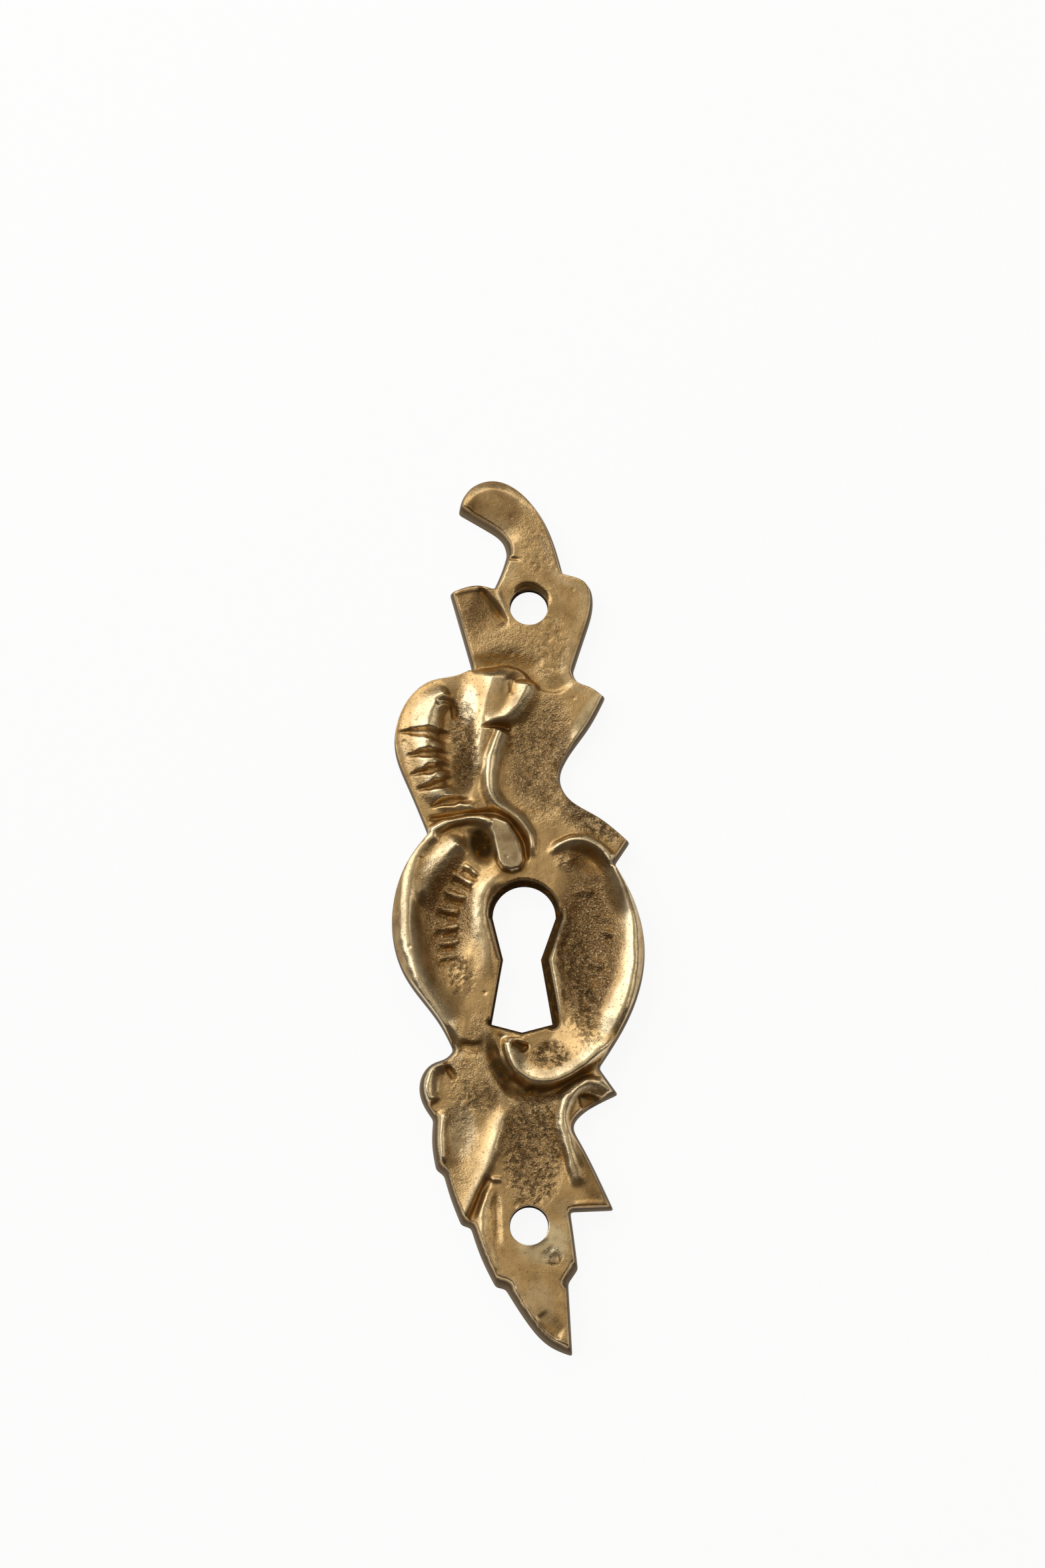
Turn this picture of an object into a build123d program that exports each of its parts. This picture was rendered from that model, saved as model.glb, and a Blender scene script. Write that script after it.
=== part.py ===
from build123d import *
import os
import numpy as np

# Keyhole escutcheon: one brass casting with a flat back, drafted edges and a carved front.
# Frame: back face on Z = 0, carved front towards +Z, +Y up the plate,
# origin on the axis of the keyhole's round part.

# Plate and its holes, mm
upper_screw = 35.9  # keyhole axis up to the upper screw hole
lower_screw = 35.1  # keyhole axis down to the lower screw hole
crest_reach = 15.2  # upper screw hole up to the top of the hook
leaf_reach = 14.5  # lower screw hole down to the tip of the leaf
plate_width = 28.9  # over the lobe on the left and the bowl on the right
screw_offset = 0.55  # screw holes to the right of the keyhole axis
screw_hole_diameter = 4.3
key_bore_diameter = 7.2
key_neck_width = 4.3
key_neck_depth = 4.8  # keyhole axis down to the narrowest place
key_foot_width = 6.9
key_foot_depth = 12.2  # keyhole axis down to the corners of the foot
key_foot_point = 0.9  # the foot's middle below its corners
key_slot_offset = 0.25  # neck and foot to the left of the keyhole axis
key_flare = 0.6  # the keyhole's growth on its left, top and foot from the back to the blank's top
key_right_flare = 1.8  # the same on the right, where the casting falls away

# Heights of the carving, mm
land_height = 2.7  # plain ground of the plate
rim_rise = 1.25  # scrolled rims of the bowl, above the ground
tongue_rise = 0.8  # flat tongue that hangs over the keyhole
bulb_rise = 1.42  # rolled bulb at the head of the stem
stem_rise = 0.85
lobe_rise = 1.0
lip_rise = 0.5  # raised land on the left of the keyhole
leaf_rise = 0.5  # ribs and curls of the lower leaf
hollow_depth = 1.1  # hollows of the bowl, below the ground
scoop_depth = 0.5  # shallow hollows of the leaves, the channel and the wing
groove_depth = 0.5  # grooves round the lobe, and the step of the wing
undercut_depth = 0.9  # undercut below the bowl
pocket_depth = 0.7  # pocket behind the tongue, notch of the stem and the pocket of the right curl
flute_entry = 0.85  # floor of a flute above the ground at the lobe's edge
flute_exit = 0.9  # floor of a flute below the ground at the channel
flute_slope = 0.75  # half width of a flute for each mm of its depth

# Casting
wall_inset = 0.95  # draft of the outer wall from the back to the blank's top
blank_margin = 0.5  # metal above the tallest carving before it is cut away
slab_depth = 1.0  # metal below the back before it is cut away
section_spacing = 1.1  # between the crosswise sections of the carved front
point_spacing = 1.45  # between the points of one section
carving_border = 1.2  # overhang of the carved slab around the plate

# The ornament is drawn for these places of its tip, lower hole, keyhole, upper hole and top,
# and stretches with the plate when the holes or the reaches change.
drawn_marks = (-49.6, -35.1, 0.0, 35.9, 51.1)
drawn_width = 28.9
plate_marks = (
    -lower_screw - leaf_reach,
    -lower_screw,
    0.0,
    upper_screw,
    upper_screw + crest_reach,
)
stretch = plate_width / drawn_width


def place(x, y):
    return x * stretch, float(np.interp(y, drawn_marks, plate_marks))


# Outline at the back, clockwise from the hook: each run is a smooth curve between two corners,
# with its share of the wall's draft.
outline_runs = [
    (1.0, [(-7.6, 47.2), (-6.9, 49.5), (-3.7, 51.1), (0.0, 49.4), (2.6, 45.8), (4.5, 40.0)]),
    (1.0, [(4.5, 40.0), (5.9, 39.65), (7.35, 38.85), (7.9, 37.3), (7.1, 33.0), (5.6, 28.4)]),
    (1.0, [(5.6, 28.4), (6.2, 27.4), (7.4, 26.9), (9.35, 25.6)]),
    (1.0, [(9.35, 25.6), (7.3, 21.8), (4.6, 17.8), (4.1, 16.0), (4.9, 14.1), (8.3, 11.8), (12.1, 8.7)]),
    (1.0, [(12.1, 8.7), (10.35, 6.1)]),
    (0.7, [(10.35, 6.1), (12.3, 2.6), (13.75, -4.2), (12.1, -11.1), (8.5, -17.2)]),
    (1.0, [(8.5, -17.2), (10.65, -20.2)]),
    (
        1.0,
        [(10.65, -20.2), (8.0, -21.5), (6.2, -22.8), (5.6, -23.8), (6.1, -25.2), (8.0, -28.8), (10.1, -33.3)],
    ),
    (1.0, [(10.1, -33.3), (5.2, -33.5)]),
    (1.0, [(5.2, -33.5), (5.6, -36.3), (6.05, -39.9)]),
    (1.2, [(6.05, -39.9), (4.95, -41.5)]),
    (1.0, [(4.95, -41.5), (5.15, -45.0), (5.4, -49.6)]),
    (1.25, [(5.4, -49.6), (3.0, -48.6), (0.2, -45.7), (-2.1, -42.15)]),
    (1.25, [(-2.1, -42.15), (-3.2, -41.9)]),
    (1.25, [(-3.2, -41.9), (-4.8, -38.7), (-6.0, -35.3)]),
    (1.25, [(-6.0, -35.3), (-7.1, -34.95)]),
    (1.25, [(-7.1, -34.95), (-8.3, -31.9), (-9.05, -29.4)]),
    (1.25, [(-9.05, -29.4), (-9.95, -28.7)]),
    (1.25, [(-9.95, -28.7), (-10.4, -25.8), (-10.3, -23.1)]),
    (
        1.15,
        [(-10.3, -23.1), (-11.5, -21.2), (-11.8, -18.7), (-10.3, -16.6), (-8.8, -16.0), (-8.05, -15.2)],
    ),
    (0.6, [(-8.05, -15.2), (-9.5, -12.4), (-13.6, -6.7), (-15.1, -0.6), (-13.6, 5.8), (-11.0, 9.5)]),
    (
        0.9,
        [
            (-11.0, 9.5),
            (-13.3, 15.0),
            (-14.85, 19.5),
            (-13.7, 24.6),
            (-10.6, 27.3),
            (-7.6, 27.95),
            (-6.0, 28.7),
        ],
    ),
    (1.1, [(-6.0, 28.7), (-7.0, 32.2), (-8.6, 37.8)]),
    (1.0, [(-8.6, 37.8), (-6.8, 38.5), (-5.0, 38.7), (-3.5, 38.3)]),
    (1.0, [(-3.5, 38.3), (-2.6, 40.4), (-2.0, 42.3)]),
    (1.2, [(-2.0, 42.3), (-2.35, 43.6), (-4.2, 45.2), (-7.6, 47.2)]),
]


def draw_outline(inset):
    # Every point moves inwards along the bisector of the two chords that meet there,
    # and a corner takes the mean share of its two runs.
    loop = [point for _, run in outline_runs for point in run[:-1]]
    drawn = np.array([place(x, y) for x, y in loop])
    shares = []
    for i, (share, run) in enumerate(outline_runs):
        shares.append((share + outline_runs[i - 1][0]) / 2)
        shares.extend([share] * (len(run) - 2))
    chords = np.roll(drawn, -1, axis=0) - drawn
    square = np.column_stack([chords[:, 1], -chords[:, 0]]) / np.hypot(*chords.T)[:, None]
    bisector = square + np.roll(square, 1, axis=0)
    inwards = bisector / np.hypot(*bisector.T)[:, None]
    moved = [tuple(point) for point in drawn + inset * np.array(shares)[:, None] * inwards]
    first = 0
    for _, run in outline_runs:
        last = first + len(run) - 1
        points = [moved[i % len(moved)] for i in range(first, last + 1)]
        if len(points) == 2:
            Line(*points)
        else:
            Spline(*points)
        first = last


def draw_keyhole(growth, right_growth):
    radius = key_bore_diameter / 2 + growth
    neck = key_neck_width / 2
    foot = key_foot_width / 2
    foot_y = -key_foot_depth - growth
    ThreePointArc((-radius, 0), (0, radius), (radius, 0))
    Polyline(
        (radius, 0),
        (neck + right_growth - key_slot_offset, -key_neck_depth),
        (foot + right_growth - key_slot_offset, foot_y),
        (-key_slot_offset, foot_y - key_foot_point),
        (-foot - growth - key_slot_offset, foot_y),
        (-neck - growth - key_slot_offset, -key_neck_depth),
        (-radius, 0),
    )


# Sections stand closer together where the carving is busy: each zone starts at a drawn height,
# from the tip upwards, and takes a share of the section spacing.
section_zones = [
    (-49.6, 1.6),
    (-36.0, 1.15),
    (-21.6, 0.85),
    (-14.0, 1.2),
    (5.0, 0.7),
    (13.4, 1.0),
    (20.4, 0.8),
    (30.0, 1.1),
    (39.0, 1.6),
    (51.1, 1.0),
]
section_heights = []
for (zone_start, share), (zone_end, _) in zip(section_zones[:-1], section_zones[1:]):
    zone_low = place(0, zone_start)[1]
    zone_high = place(0, zone_end)[1]
    zone_count = max(int((zone_high - zone_low) / (share * section_spacing)), 1)
    section_heights.extend(np.linspace(zone_low, zone_high, zone_count, endpoint=False))
slab_bottom = plate_marks[0] - carving_border
slab_top = plate_marks[-1] + carving_border
section_y = np.array([slab_bottom, *section_heights, plate_marks[-1], slab_top])

# Points of the carved front, and the places of the drawing that they stand for
half_x = plate_width / 2 + 2 * carving_border
point_x = np.linspace(-half_x, half_x, int(2 * half_x / point_spacing))
plate_x, plate_y = np.meshgrid(point_x, section_y)
drawn_x = plate_x / stretch
drawn_y = np.interp(plate_y, plate_marks, drawn_marks)


def along_path(path):
    # Distance of every drawn point from a smooth path, its side and how far along the path it lies
    curve = Edge.make_spline([Vector(x, y) for x, y in path])
    count = 8 * len(path)
    line = np.array([tuple(curve.position_at(t))[:2] for t in np.linspace(0, 1, count)])
    nearest = np.full(drawn_x.shape, np.inf)
    side = np.zeros(drawn_x.shape)
    share = np.zeros(drawn_x.shape)
    for i in range(count - 1):
        start = line[i]
        run = line[i + 1] - start
        from_x = drawn_x - start[0]
        from_y = drawn_y - start[1]
        t = np.clip((from_x * run[0] + from_y * run[1]) / (run @ run), 0, 1)
        distance = np.hypot(from_x - t * run[0], from_y - t * run[1])
        closer = distance < nearest
        nearest[closer] = distance[closer]
        side[closer] = np.sign(run[0] * from_y - run[1] * from_x)[closer]
        share[closer] = (i + t[closer]) / (count - 1)
    return nearest, side, share


def ridge(path, height, left, right, fade=0.15):
    # Rounded ridge along a path: full height on the path, nothing at its left and right widths,
    # and run out over a share of its length at both ends. Widths may change along the path.
    nearest, side, share = along_path(path)
    left_width = np.interp(share, np.linspace(0, 1, len(left)), left)
    right_width = np.interp(share, np.linspace(0, 1, len(right)), right)
    across = np.clip(nearest / np.where(side > 0, left_width, right_width), 0, 1)
    ends = np.clip(np.minimum(share, 1 - share) / fade, 0, 1)
    return height * (1 - across**2) ** 2 * ends * ends * (3 - 2 * ends)


def scoop(centre, reach, depth):
    # Oval hollow, deepest at its centre
    across = ((drawn_x - centre[0]) / reach[0]) ** 2 + ((drawn_y - centre[1]) / reach[1]) ** 2
    return depth * np.clip(1 - across, 0, 1) ** 1.5


def blend(shapes, sharpness=4):
    # Soft maximum of shapes that run into each other
    return np.sum([shape**sharpness for shape in shapes], axis=0) ** (1 / sharpness)


# Crest
wing_step = [(-5.4, 38.0), (-4.2, 37.0), (-3.3, 35.6), (-2.4, 34.3), (-1.6, 32.9)]
neck_valley = [
    (-6.4, 28.6),
    (-4.6, 28.7),
    (-2.0, 29.1),
    (0.2, 28.2),
    (1.3, 26.9),
    (4.4, 26.4),
    (5.8, 27.6),
]

# Lobe
lobe_shell = [
    (-8.6, 26.2),
    (-11.0, 25.0),
    (-12.6, 22.6),
    (-13.0, 19.0),
    (-12.3, 15.8),
    (-10.3, 12.9),
    (-5.2, 12.2),
]
arris = [(-4.2, 27.2), (-5.0, 23.5), (-5.2, 20.0), (-5.3, 16.5), (-4.8, 14.9)]
bulb = [(0.6, 27.6), (-1.0, 25.1), (-2.6, 23.5), (-4.4, 22.3)]
notch = [(-4.6, 22.0), (-3.0, 22.3), (-1.0, 21.8)]
stem = [(-2.4, 22.0), (-3.7, 18.4), (-4.0, 15.4), (-3.0, 12.7), (-0.6, 11.0), (0.8, 8.4), (1.0, 6.0)]
lobe_groove = [
    (-11.6, 11.0),
    (-8.0, 11.3),
    (-5.0, 11.8),
    (-3.0, 11.7),
    (-1.3, 10.4),
    (-0.2, 8.4),
    (0.2, 5.6),
]
flutes = [
    ((-14.0, 21.1), (-7.9, 20.9)),
    ((-13.6, 18.4), (-8.0, 18.8)),
    ((-13.1, 16.2), (-8.2, 17.0)),
    ((-12.4, 14.3), (-7.4, 15.6)),
]

# Bowl
left_rim = [(-9.3, 9.9), (-12.4, 5.8), (-13.2, -0.6), (-12.0, -6.6), (-9.0, -11.8), (-6.4, -15.2)]
tongue = [(-11.4, 9.2), (-9.6, 10.2), (-7.0, 10.9), (-4.8, 10.8), (-3.2, 9.9), (-2.2, 8.0), (-1.4, 5.2)]
tongue_pocket = [(-5.6, 10.0), (-5.2, 8.4), (-4.4, 6.9), (-3.4, 5.6)]
right_rim = [
    (2.7, 6.4),
    (4.3, 8.2),
    (7.0, 8.4),
    (10.0, 5.6),
    (12.0, 0.0),
    (12.2, -5.4),
    (10.8, -11.4),
    (7.6, -16.1),
    (3.0, -18.7),
    (-0.6, -17.3),
    (-2.2, -13.8),
]
left_lip = [(-1.6, 4.9), (-4.0, 3.6), (-5.2, 0.2), (-4.6, -3.0), (-4.2, -6.0), (-4.4, -9.0)]
bowl_undercut = [(-4.2, -13.6), (-3.4, -16.2), (-1.4, -19.2), (1.0, -20.2), (4.0, -19.9), (8.6, -17.4)]

# Lower leaf
left_curl = [(-8.3, -17.0), (-9.8, -17.3), (-10.7, -18.8), (-10.8, -20.4), (-10.1, -21.8)]
main_rib = [(-1.8, -20.9), (-3.1, -25.8), (-4.7, -30.0), (-7.0, -34.8)]
right_curl = [
    (10.2, -20.4),
    (8.4, -19.3),
    (6.0, -19.9),
    (4.5, -21.8),
    (4.5, -24.6),
    (5.3, -27.8),
    (6.3, -31.4),
]
curl_pocket = [(5.8, -20.8), (7.4, -20.9), (8.8, -21.0)]

raised = blend([
    ridge(lobe_shell, lobe_rise, [3.4, 4.2, 4.2, 3.6, 1.2], [1.3, 2.0, 2.0, 1.6, 0.9], fade=0.06),
    ridge(arris, stem_rise, [1.5], [3.4, 3.4, 2.8]),
    ridge(bulb, bulb_rise, [1.7, 1.7, 1.2], [3.2, 3.6, 2.0], fade=0.1),
    ridge(stem, stem_rise, [2.0, 1.8, 1.4, 1.2], [1.7, 1.6, 1.3, 1.1], fade=0.1),
    ridge(left_rim, rim_rise, [2.2, 3.2, 3.2, 3.8, 3.0], [1.6, 2.2, 2.2, 1.8], fade=0.1),
    ridge(tongue, tongue_rise, [1.1, 1.0, 1.3, 1.8], [1.4, 1.1, 1.5, 1.8], fade=0.12),
    ridge(right_rim, rim_rise, [1.2, 1.8, 1.9, 1.6, 1.1], [1.2, 2.4, 3.8, 4.8, 4.4, 1.8], fade=0.07),
    ridge(left_lip, lip_rise, [1.6], [1.6, 2.8, 2.4, 1.6], fade=0.2),
    ridge(left_curl, leaf_rise, [1.5], [1.5]),
    ridge(main_rib, leaf_rise, [1.3, 1.3, 0.9], [2.0, 3.2, 2.4]),
    ridge(right_curl, leaf_rise, [1.2, 1.4, 1.6, 1.8], [1.3, 1.5, 1.6, 1.4], fade=0.2),
])
sunk = blend([
    scoop((-9.2, 0.2), (4.0, 9.6), hollow_depth),
    scoop((7.6, -2.6), (5.0, 12.6), hollow_depth),
    scoop((-7.7, 18.8), (2.9, 8.2), scoop_depth),
    scoop((1.6, 18.6), (5.0, 8.6), scoop_depth),
    scoop((8.4, 11.0), (4.6, 2.4), scoop_depth),
    scoop((0.8, -26.0), (4.6, 8.0), scoop_depth),
    scoop((-7.0, -25.6), (2.4, 4.6), scoop_depth),
    ridge(wing_step, groove_depth, [1.1], [2.0, 3.8, 3.8]),
    ridge(neck_valley, groove_depth, [3.2, 3.0, 2.4], [0.9], fade=0.08),
    ridge(notch, pocket_depth, [0.9], [0.8], fade=0.3),
    ridge(lobe_groove, groove_depth, [1.0, 1.0, 1.3], [0.9, 0.9, 1.2], fade=0.15),
    ridge(tongue_pocket, pocket_depth, [1.3], [1.7], fade=0.3),
    ridge(bowl_undercut, undercut_depth, [0.9], [1.2, 2.4, 1.4], fade=0.2),
    ridge(curl_pocket, pocket_depth, [0.8], [1.0], fade=0.2),
])
carved_z = land_height + raised - sunk
blank_height = float(carved_z.max()) + blank_margin
even_steps = list(np.linspace(0, 1, len(point_x)))

os.makedirs("parts", exist_ok=True)

with BuildPart() as escutcheon:
    # Slab with the carved front, lofted through its crosswise sections
    for y, heights in zip(section_y, carved_z):
        front_points = [Vector(x, z) for x, z in zip(point_x, heights)]
        with BuildSketch(Plane.XZ.offset(-y)):
            with BuildLine():
                add(Edge.make_spline(front_points, parameters=even_steps))
                Polyline(
                    (half_x, heights[-1]),
                    (half_x, -slab_depth),
                    (-half_x, -slab_depth),
                    (-half_x, heights[0]),
                )
            make_face()
    loft(ruled=True)

    # Drafted blank of the plate's outline, which trims the slab
    with BuildSketch():
        with BuildLine():
            draw_outline(0)
        make_face()
    with BuildSketch(Plane.XY.offset(blank_height)):
        with BuildLine():
            draw_outline(wall_inset)
        make_face()
    loft(ruled=True, mode=Mode.INTERSECT)

    # Keyhole, wider at the front
    with BuildSketch():
        with BuildLine():
            draw_keyhole(0, 0)
        make_face()
    with BuildSketch(Plane.XY.offset(blank_height)):
        with BuildLine():
            draw_keyhole(key_flare, key_right_flare)
        make_face()
    loft(ruled=True, mode=Mode.SUBTRACT)

    # Flutes of the lobe: V cuts whose floors fall from the edge to the channel
    for start, end in flutes:
        entry = Vector(*place(*start), land_height + flute_entry)
        run = Vector(*place(*end), land_height - flute_exit) - entry
        opening = flute_slope * blank_height
        with BuildSketch(Plane(entry, x_dir=(-run.Y, run.X, 0), z_dir=run)):
            with BuildLine():
                Polyline((0, 0), (opening, blank_height), (-opening, blank_height), close=True)
            make_face()
        extrude(amount=run.length, mode=Mode.SUBTRACT)

    with Locations((screw_offset, upper_screw), (screw_offset, -lower_screw)):
        Hole(screw_hole_diameter / 2)

escutcheon.part.label = "escutcheon_plate"
export_step(escutcheon.part, "parts/escutcheon_plate.step")
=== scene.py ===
import math

import bpy
import numpy as np
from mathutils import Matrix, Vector
from mathutils.geometry import delaunay_2d_cdt


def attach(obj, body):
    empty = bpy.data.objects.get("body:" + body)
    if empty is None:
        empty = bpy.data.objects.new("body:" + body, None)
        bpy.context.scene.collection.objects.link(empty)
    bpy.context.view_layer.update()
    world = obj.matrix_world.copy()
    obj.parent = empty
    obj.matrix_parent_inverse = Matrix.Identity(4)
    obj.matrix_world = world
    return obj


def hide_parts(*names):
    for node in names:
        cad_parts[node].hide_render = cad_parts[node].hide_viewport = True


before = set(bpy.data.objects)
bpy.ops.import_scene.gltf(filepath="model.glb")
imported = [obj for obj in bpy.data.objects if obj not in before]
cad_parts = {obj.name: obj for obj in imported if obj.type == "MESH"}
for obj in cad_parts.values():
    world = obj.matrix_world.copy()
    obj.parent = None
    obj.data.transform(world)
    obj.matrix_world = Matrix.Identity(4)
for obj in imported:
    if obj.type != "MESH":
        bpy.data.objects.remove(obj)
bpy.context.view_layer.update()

mm = 0.001
print("frame loaded:", list(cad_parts))


def addObject(name, data):
    made = bpy.data.objects.new(name, data)
    bpy.context.scene.collection.objects.link(made)
    return made


def aim(thing, place, target):
    thing.location = place
    thing.rotation_euler = (Vector(target) - Vector(place)).to_track_quat("-Z", "Y").to_euler()


# Paths and surfaces are worked out in millimetres, in the plate's own frame.
def smooth(t):
    t = np.clip(t, 0.0, 1.0)
    return t * t * (3.0 - 2.0 * t)


# Natural cubic curve through points: chord lengths are the knots, and one small
# linear system gives the second derivatives that make the bends join smoothly.
def curveThrough(points, perSpan=9):
    p = np.array(points, float)
    n = len(p)
    knots = np.concatenate([[0.0], np.cumsum(np.hypot(*np.diff(p, axis=0).T))])
    gap = np.diff(knots)
    system = np.eye(n)
    rows = np.arange(1, n - 1)
    system[rows, rows - 1] = gap[:-1]
    system[rows, rows] = 2.0 * (gap[:-1] + gap[1:])
    system[rows, rows + 1] = gap[1:]
    slopes = np.diff(p, axis=0) / gap[:, None]
    right = np.zeros((n, 2))
    right[1:-1] = 6.0 * np.diff(slopes, axis=0)
    bend = np.linalg.solve(system, right)
    t = np.linspace(0.0, knots[-1], perSpan * (n - 1) + 1)
    k = np.clip(np.searchsorted(knots, t, side="right") - 1, 0, n - 2)
    a = ((knots[k + 1] - t) / gap[k])[:, None]
    b = 1.0 - a
    cubic = ((a**3 - a) * bend[k] + (b**3 - b) * bend[k + 1]) * (gap[k] ** 2)[:, None] / 6.0
    return a * p[k] + b * p[k + 1] + cubic


# Same curve with points at an even step along its length
def evenCurve(points, step):
    line = curveThrough(points, perSpan=24)
    run = np.concatenate([[0.0], np.cumsum(np.hypot(*np.diff(line, axis=0).T))])
    at = np.linspace(0.0, run[-1], max(int(round(run[-1] / step)), 1) + 1)
    return np.column_stack([np.interp(at, run, line[:, 0]), np.interp(at, run, line[:, 1])])


# Distance of places from a polyline, the side they lie on and their share of its length
def nearPath(line, px, py):
    near = np.full(px.shape, np.inf)
    side = np.zeros(px.shape)
    share = np.zeros(px.shape)
    legs = np.diff(line, axis=0)
    lengths = np.hypot(*legs.T)
    starts = np.concatenate([[0.0], np.cumsum(lengths)])
    for (ax, ay), (sx, sy), length, start in zip(line, legs, lengths, starts):
        dx = px - ax
        dy = py - ay
        t = np.clip((dx * sx + dy * sy) / (length * length), 0.0, 1.0)
        d = (dx - t * sx) ** 2 + (dy - t * sy) ** 2
        closer = d < near
        near = np.where(closer, d, near)
        side = np.where(closer, sx * dy - sy * dx, side)
        share = np.where(closer, (start + t * length) / starts[-1], share)
    return np.sqrt(near), side, share


def closed(loop):
    return np.vstack([loop, loop[:1]])


# Even-odd test of places against a closed loop
def insideLoop(loop, px, py):
    odd = np.zeros(px.shape, bool)
    following = np.roll(loop, -1, axis=0)
    for (ax, ay), (bx, by) in zip(loop, following):
        if ay == by:
            continue
        odd ^= ((ay > py) != (by > py)) & (px < (bx - ax) * (py - ay) / (by - ay) + ax)
    return odd


# The carving is a height for each point of an even grid over the plate.
carvingGrid = {
    "step": 0.1,  # mm between grid points
    "left": -16.4,
    "right": 15.0,
    "bottom": -51.2,
    "top": 52.4,
    "land": 2.7,  # mm, plain ground of the plate
    "lowest": 0.9,  # mm of metal left under the deepest cut
    "highest": 4.17,  # mm, tallest carving
    "softness": 0.07,  # mm, blur that sand casting leaves on every edge
}
gridX = np.arange(carvingGrid["left"], carvingGrid["right"], carvingGrid["step"])
gridY = np.arange(carvingGrid["bottom"], carvingGrid["top"], carvingGrid["step"])
gx, gy = np.meshgrid(gridX, gridY)
raised = np.zeros(gx.shape)
sunk = np.zeros(gx.shape)
scooped = np.zeros(gx.shape)
joinPower = 4.0  # forms that meet join as the fourth root of the sum of their fourth powers
hollowPower = 3  # the same for hollows, which join more softly


# Value between the four points round a place of a lattice
def blend(lattice, i, j, a, b):
    lower = lattice[j, i] * (1 - a) + lattice[j, i + 1] * a
    upper = lattice[j + 1, i] * (1 - a) + lattice[j + 1, i + 1] * a
    return lower * (1 - b) + upper * b


# Seeded lattice noise from -1 to 1: random heights every size mm, blended by smoothstep
def castNoise(size, seed):
    u = (gx - gridX[0]) / size
    v = (gy - gridY[0]) / size
    i = u.astype(int)
    j = v.astype(int)
    lattice = np.random.default_rng(seed).uniform(-1.0, 1.0, (j.max() + 2, i.max() + 2))
    return blend(lattice, i, j, smooth(u - i), smooth(v - j))


# Octaves of that noise, each with its own height and the next seed
def noiseSum(sizes, heights, seed):
    return sum(height * castNoise(size, seed + i) for i, (size, height) in enumerate(zip(sizes, heights)))


# A carver's hand isn't a ruler: slow noise is added to the places that paths are drawn on.
handWander = {"sizes": (2.4, 0.9), "shifts": (0.1, 0.06), "seedX": 31, "seedY": 41}  # mm
tornEdge = {"sizes": (0.7, 0.35), "shares": (1.0, 0.6), "seed": 51}
wx = gx + noiseSum(handWander["sizes"], handWander["shifts"], handWander["seedX"])
wy = gy + noiseSum(handWander["sizes"], handWander["shifts"], handWander["seedY"])
tear = noiseSum(tornEdge["sizes"], tornEdge["shares"], tornEdge["seed"])


# Part of the grid between two corners
def window(low, high):
    return tuple(slice(*np.searchsorted(axis, ends)) for axis, *ends in zip((gridX, gridY), low, high))[::-1]


# A form either lifts the metal or sinks into it.
def layerAndRise(lift, sink):
    return (raised, lift) if sink is None else (sunk, sink)


# Ridge or groove along a path: rise * (1 - u^crown)^foot, where u is the distance from the path over the
# width on that side. Rise and widths run along the path between the values of their lists, crown 1 gives
# a sharp arris and 6 a flat top, the ends fade over a share of the length, ragged is the mm by which noise
# tears the edge, and wide and tall are factors on the widths and the rise.
def carve(path, left, right, lift=None, sink=None, crown=2.0, foot=2.0, ends=(0.15, 0.15), ragged=0.0,
          wide=1.0, tall=1.0):
    layer, rise = layerAndRise(lift, sink)
    rise = tall * np.atleast_1d(rise).astype(float)
    left, right = (wide * np.atleast_1d(width).astype(float) for width in (left, right))
    line = curveThrough(path)
    reach = max(left.max(), right.max())
    part = window(line.min(axis=0) - reach, line.max(axis=0) + reach)
    near, side, share = nearPath(line, wx[part], wy[part])
    riseAt, leftAt, rightAt = (np.interp(share, np.linspace(0, 1, len(v)), v) for v in (rise, left, right))
    near = near + ragged * tear[part]
    onLeft = side > 0
    u = np.clip(near / np.where(onLeft, leftAt, rightAt), 0.0, 1.0)
    slope = 1.0 - u ** np.where(onLeft, *np.broadcast_to(crown, 2))
    profile = slope ** np.where(onLeft, *np.broadcast_to(foot, 2))
    for end, along in zip(ends, (share, 1.0 - share)):
        if end:
            profile = profile * smooth(along / end)
    layer[part] += (riseAt * profile) ** joinPower


# Flat-topped form inside a polygon, falling outside it by rise * (1 - u^2)^1.5, u the distance over the fall
def plateau(polygon, fall, lift=None, sink=None):
    layer, rise = layerAndRise(lift, sink)
    loop = np.array(polygon)
    part = window(loop.min(axis=0) - fall, loop.max(axis=0) + fall)
    near = nearPath(closed(loop), wx[part], wy[part])[0]
    u = np.where(insideLoop(loop, wx[part], wy[part]), 0.0, np.clip(near / fall, 0.0, 1.0))
    layer[part] += (rise * (1.0 - u * u) ** 1.5) ** joinPower


# Oval hollow: depth * (1 - u^2)^1.5, u the share of the way from the centre to the edge
def scoop(centre, reach, depth):
    u = ((gx - centre[0]) / reach[0]) ** 2 + ((gy - centre[1]) / reach[1]) ** 2
    scooped[:] += (depth * np.clip(1.0 - u, 0.0, 1.0) ** 1.5) ** hollowPower


# Carves every form of a piece: a hollow has a centre, a flat-topped form a polygon, and a ridge or groove
# a path, or several paths of one kind with factors of their own.
def carveAll(piece):
    for form in piece.values():
        if "centre" in form:
            scoop(**form)
        elif "polygon" in form:
            plateau(**form)
        elif "path" in form:
            carve(**form)
        else:
            shape = {key: value for key, value in form.items() if key not in ("paths", "wide", "tall")}
            even = [1.0] * len(form["paths"])
            for path, wide, tall in zip(form["paths"], form.get("wide", even), form.get("tall", even)):
                carve(path, wide=wide, tall=tall, **shape)


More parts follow.
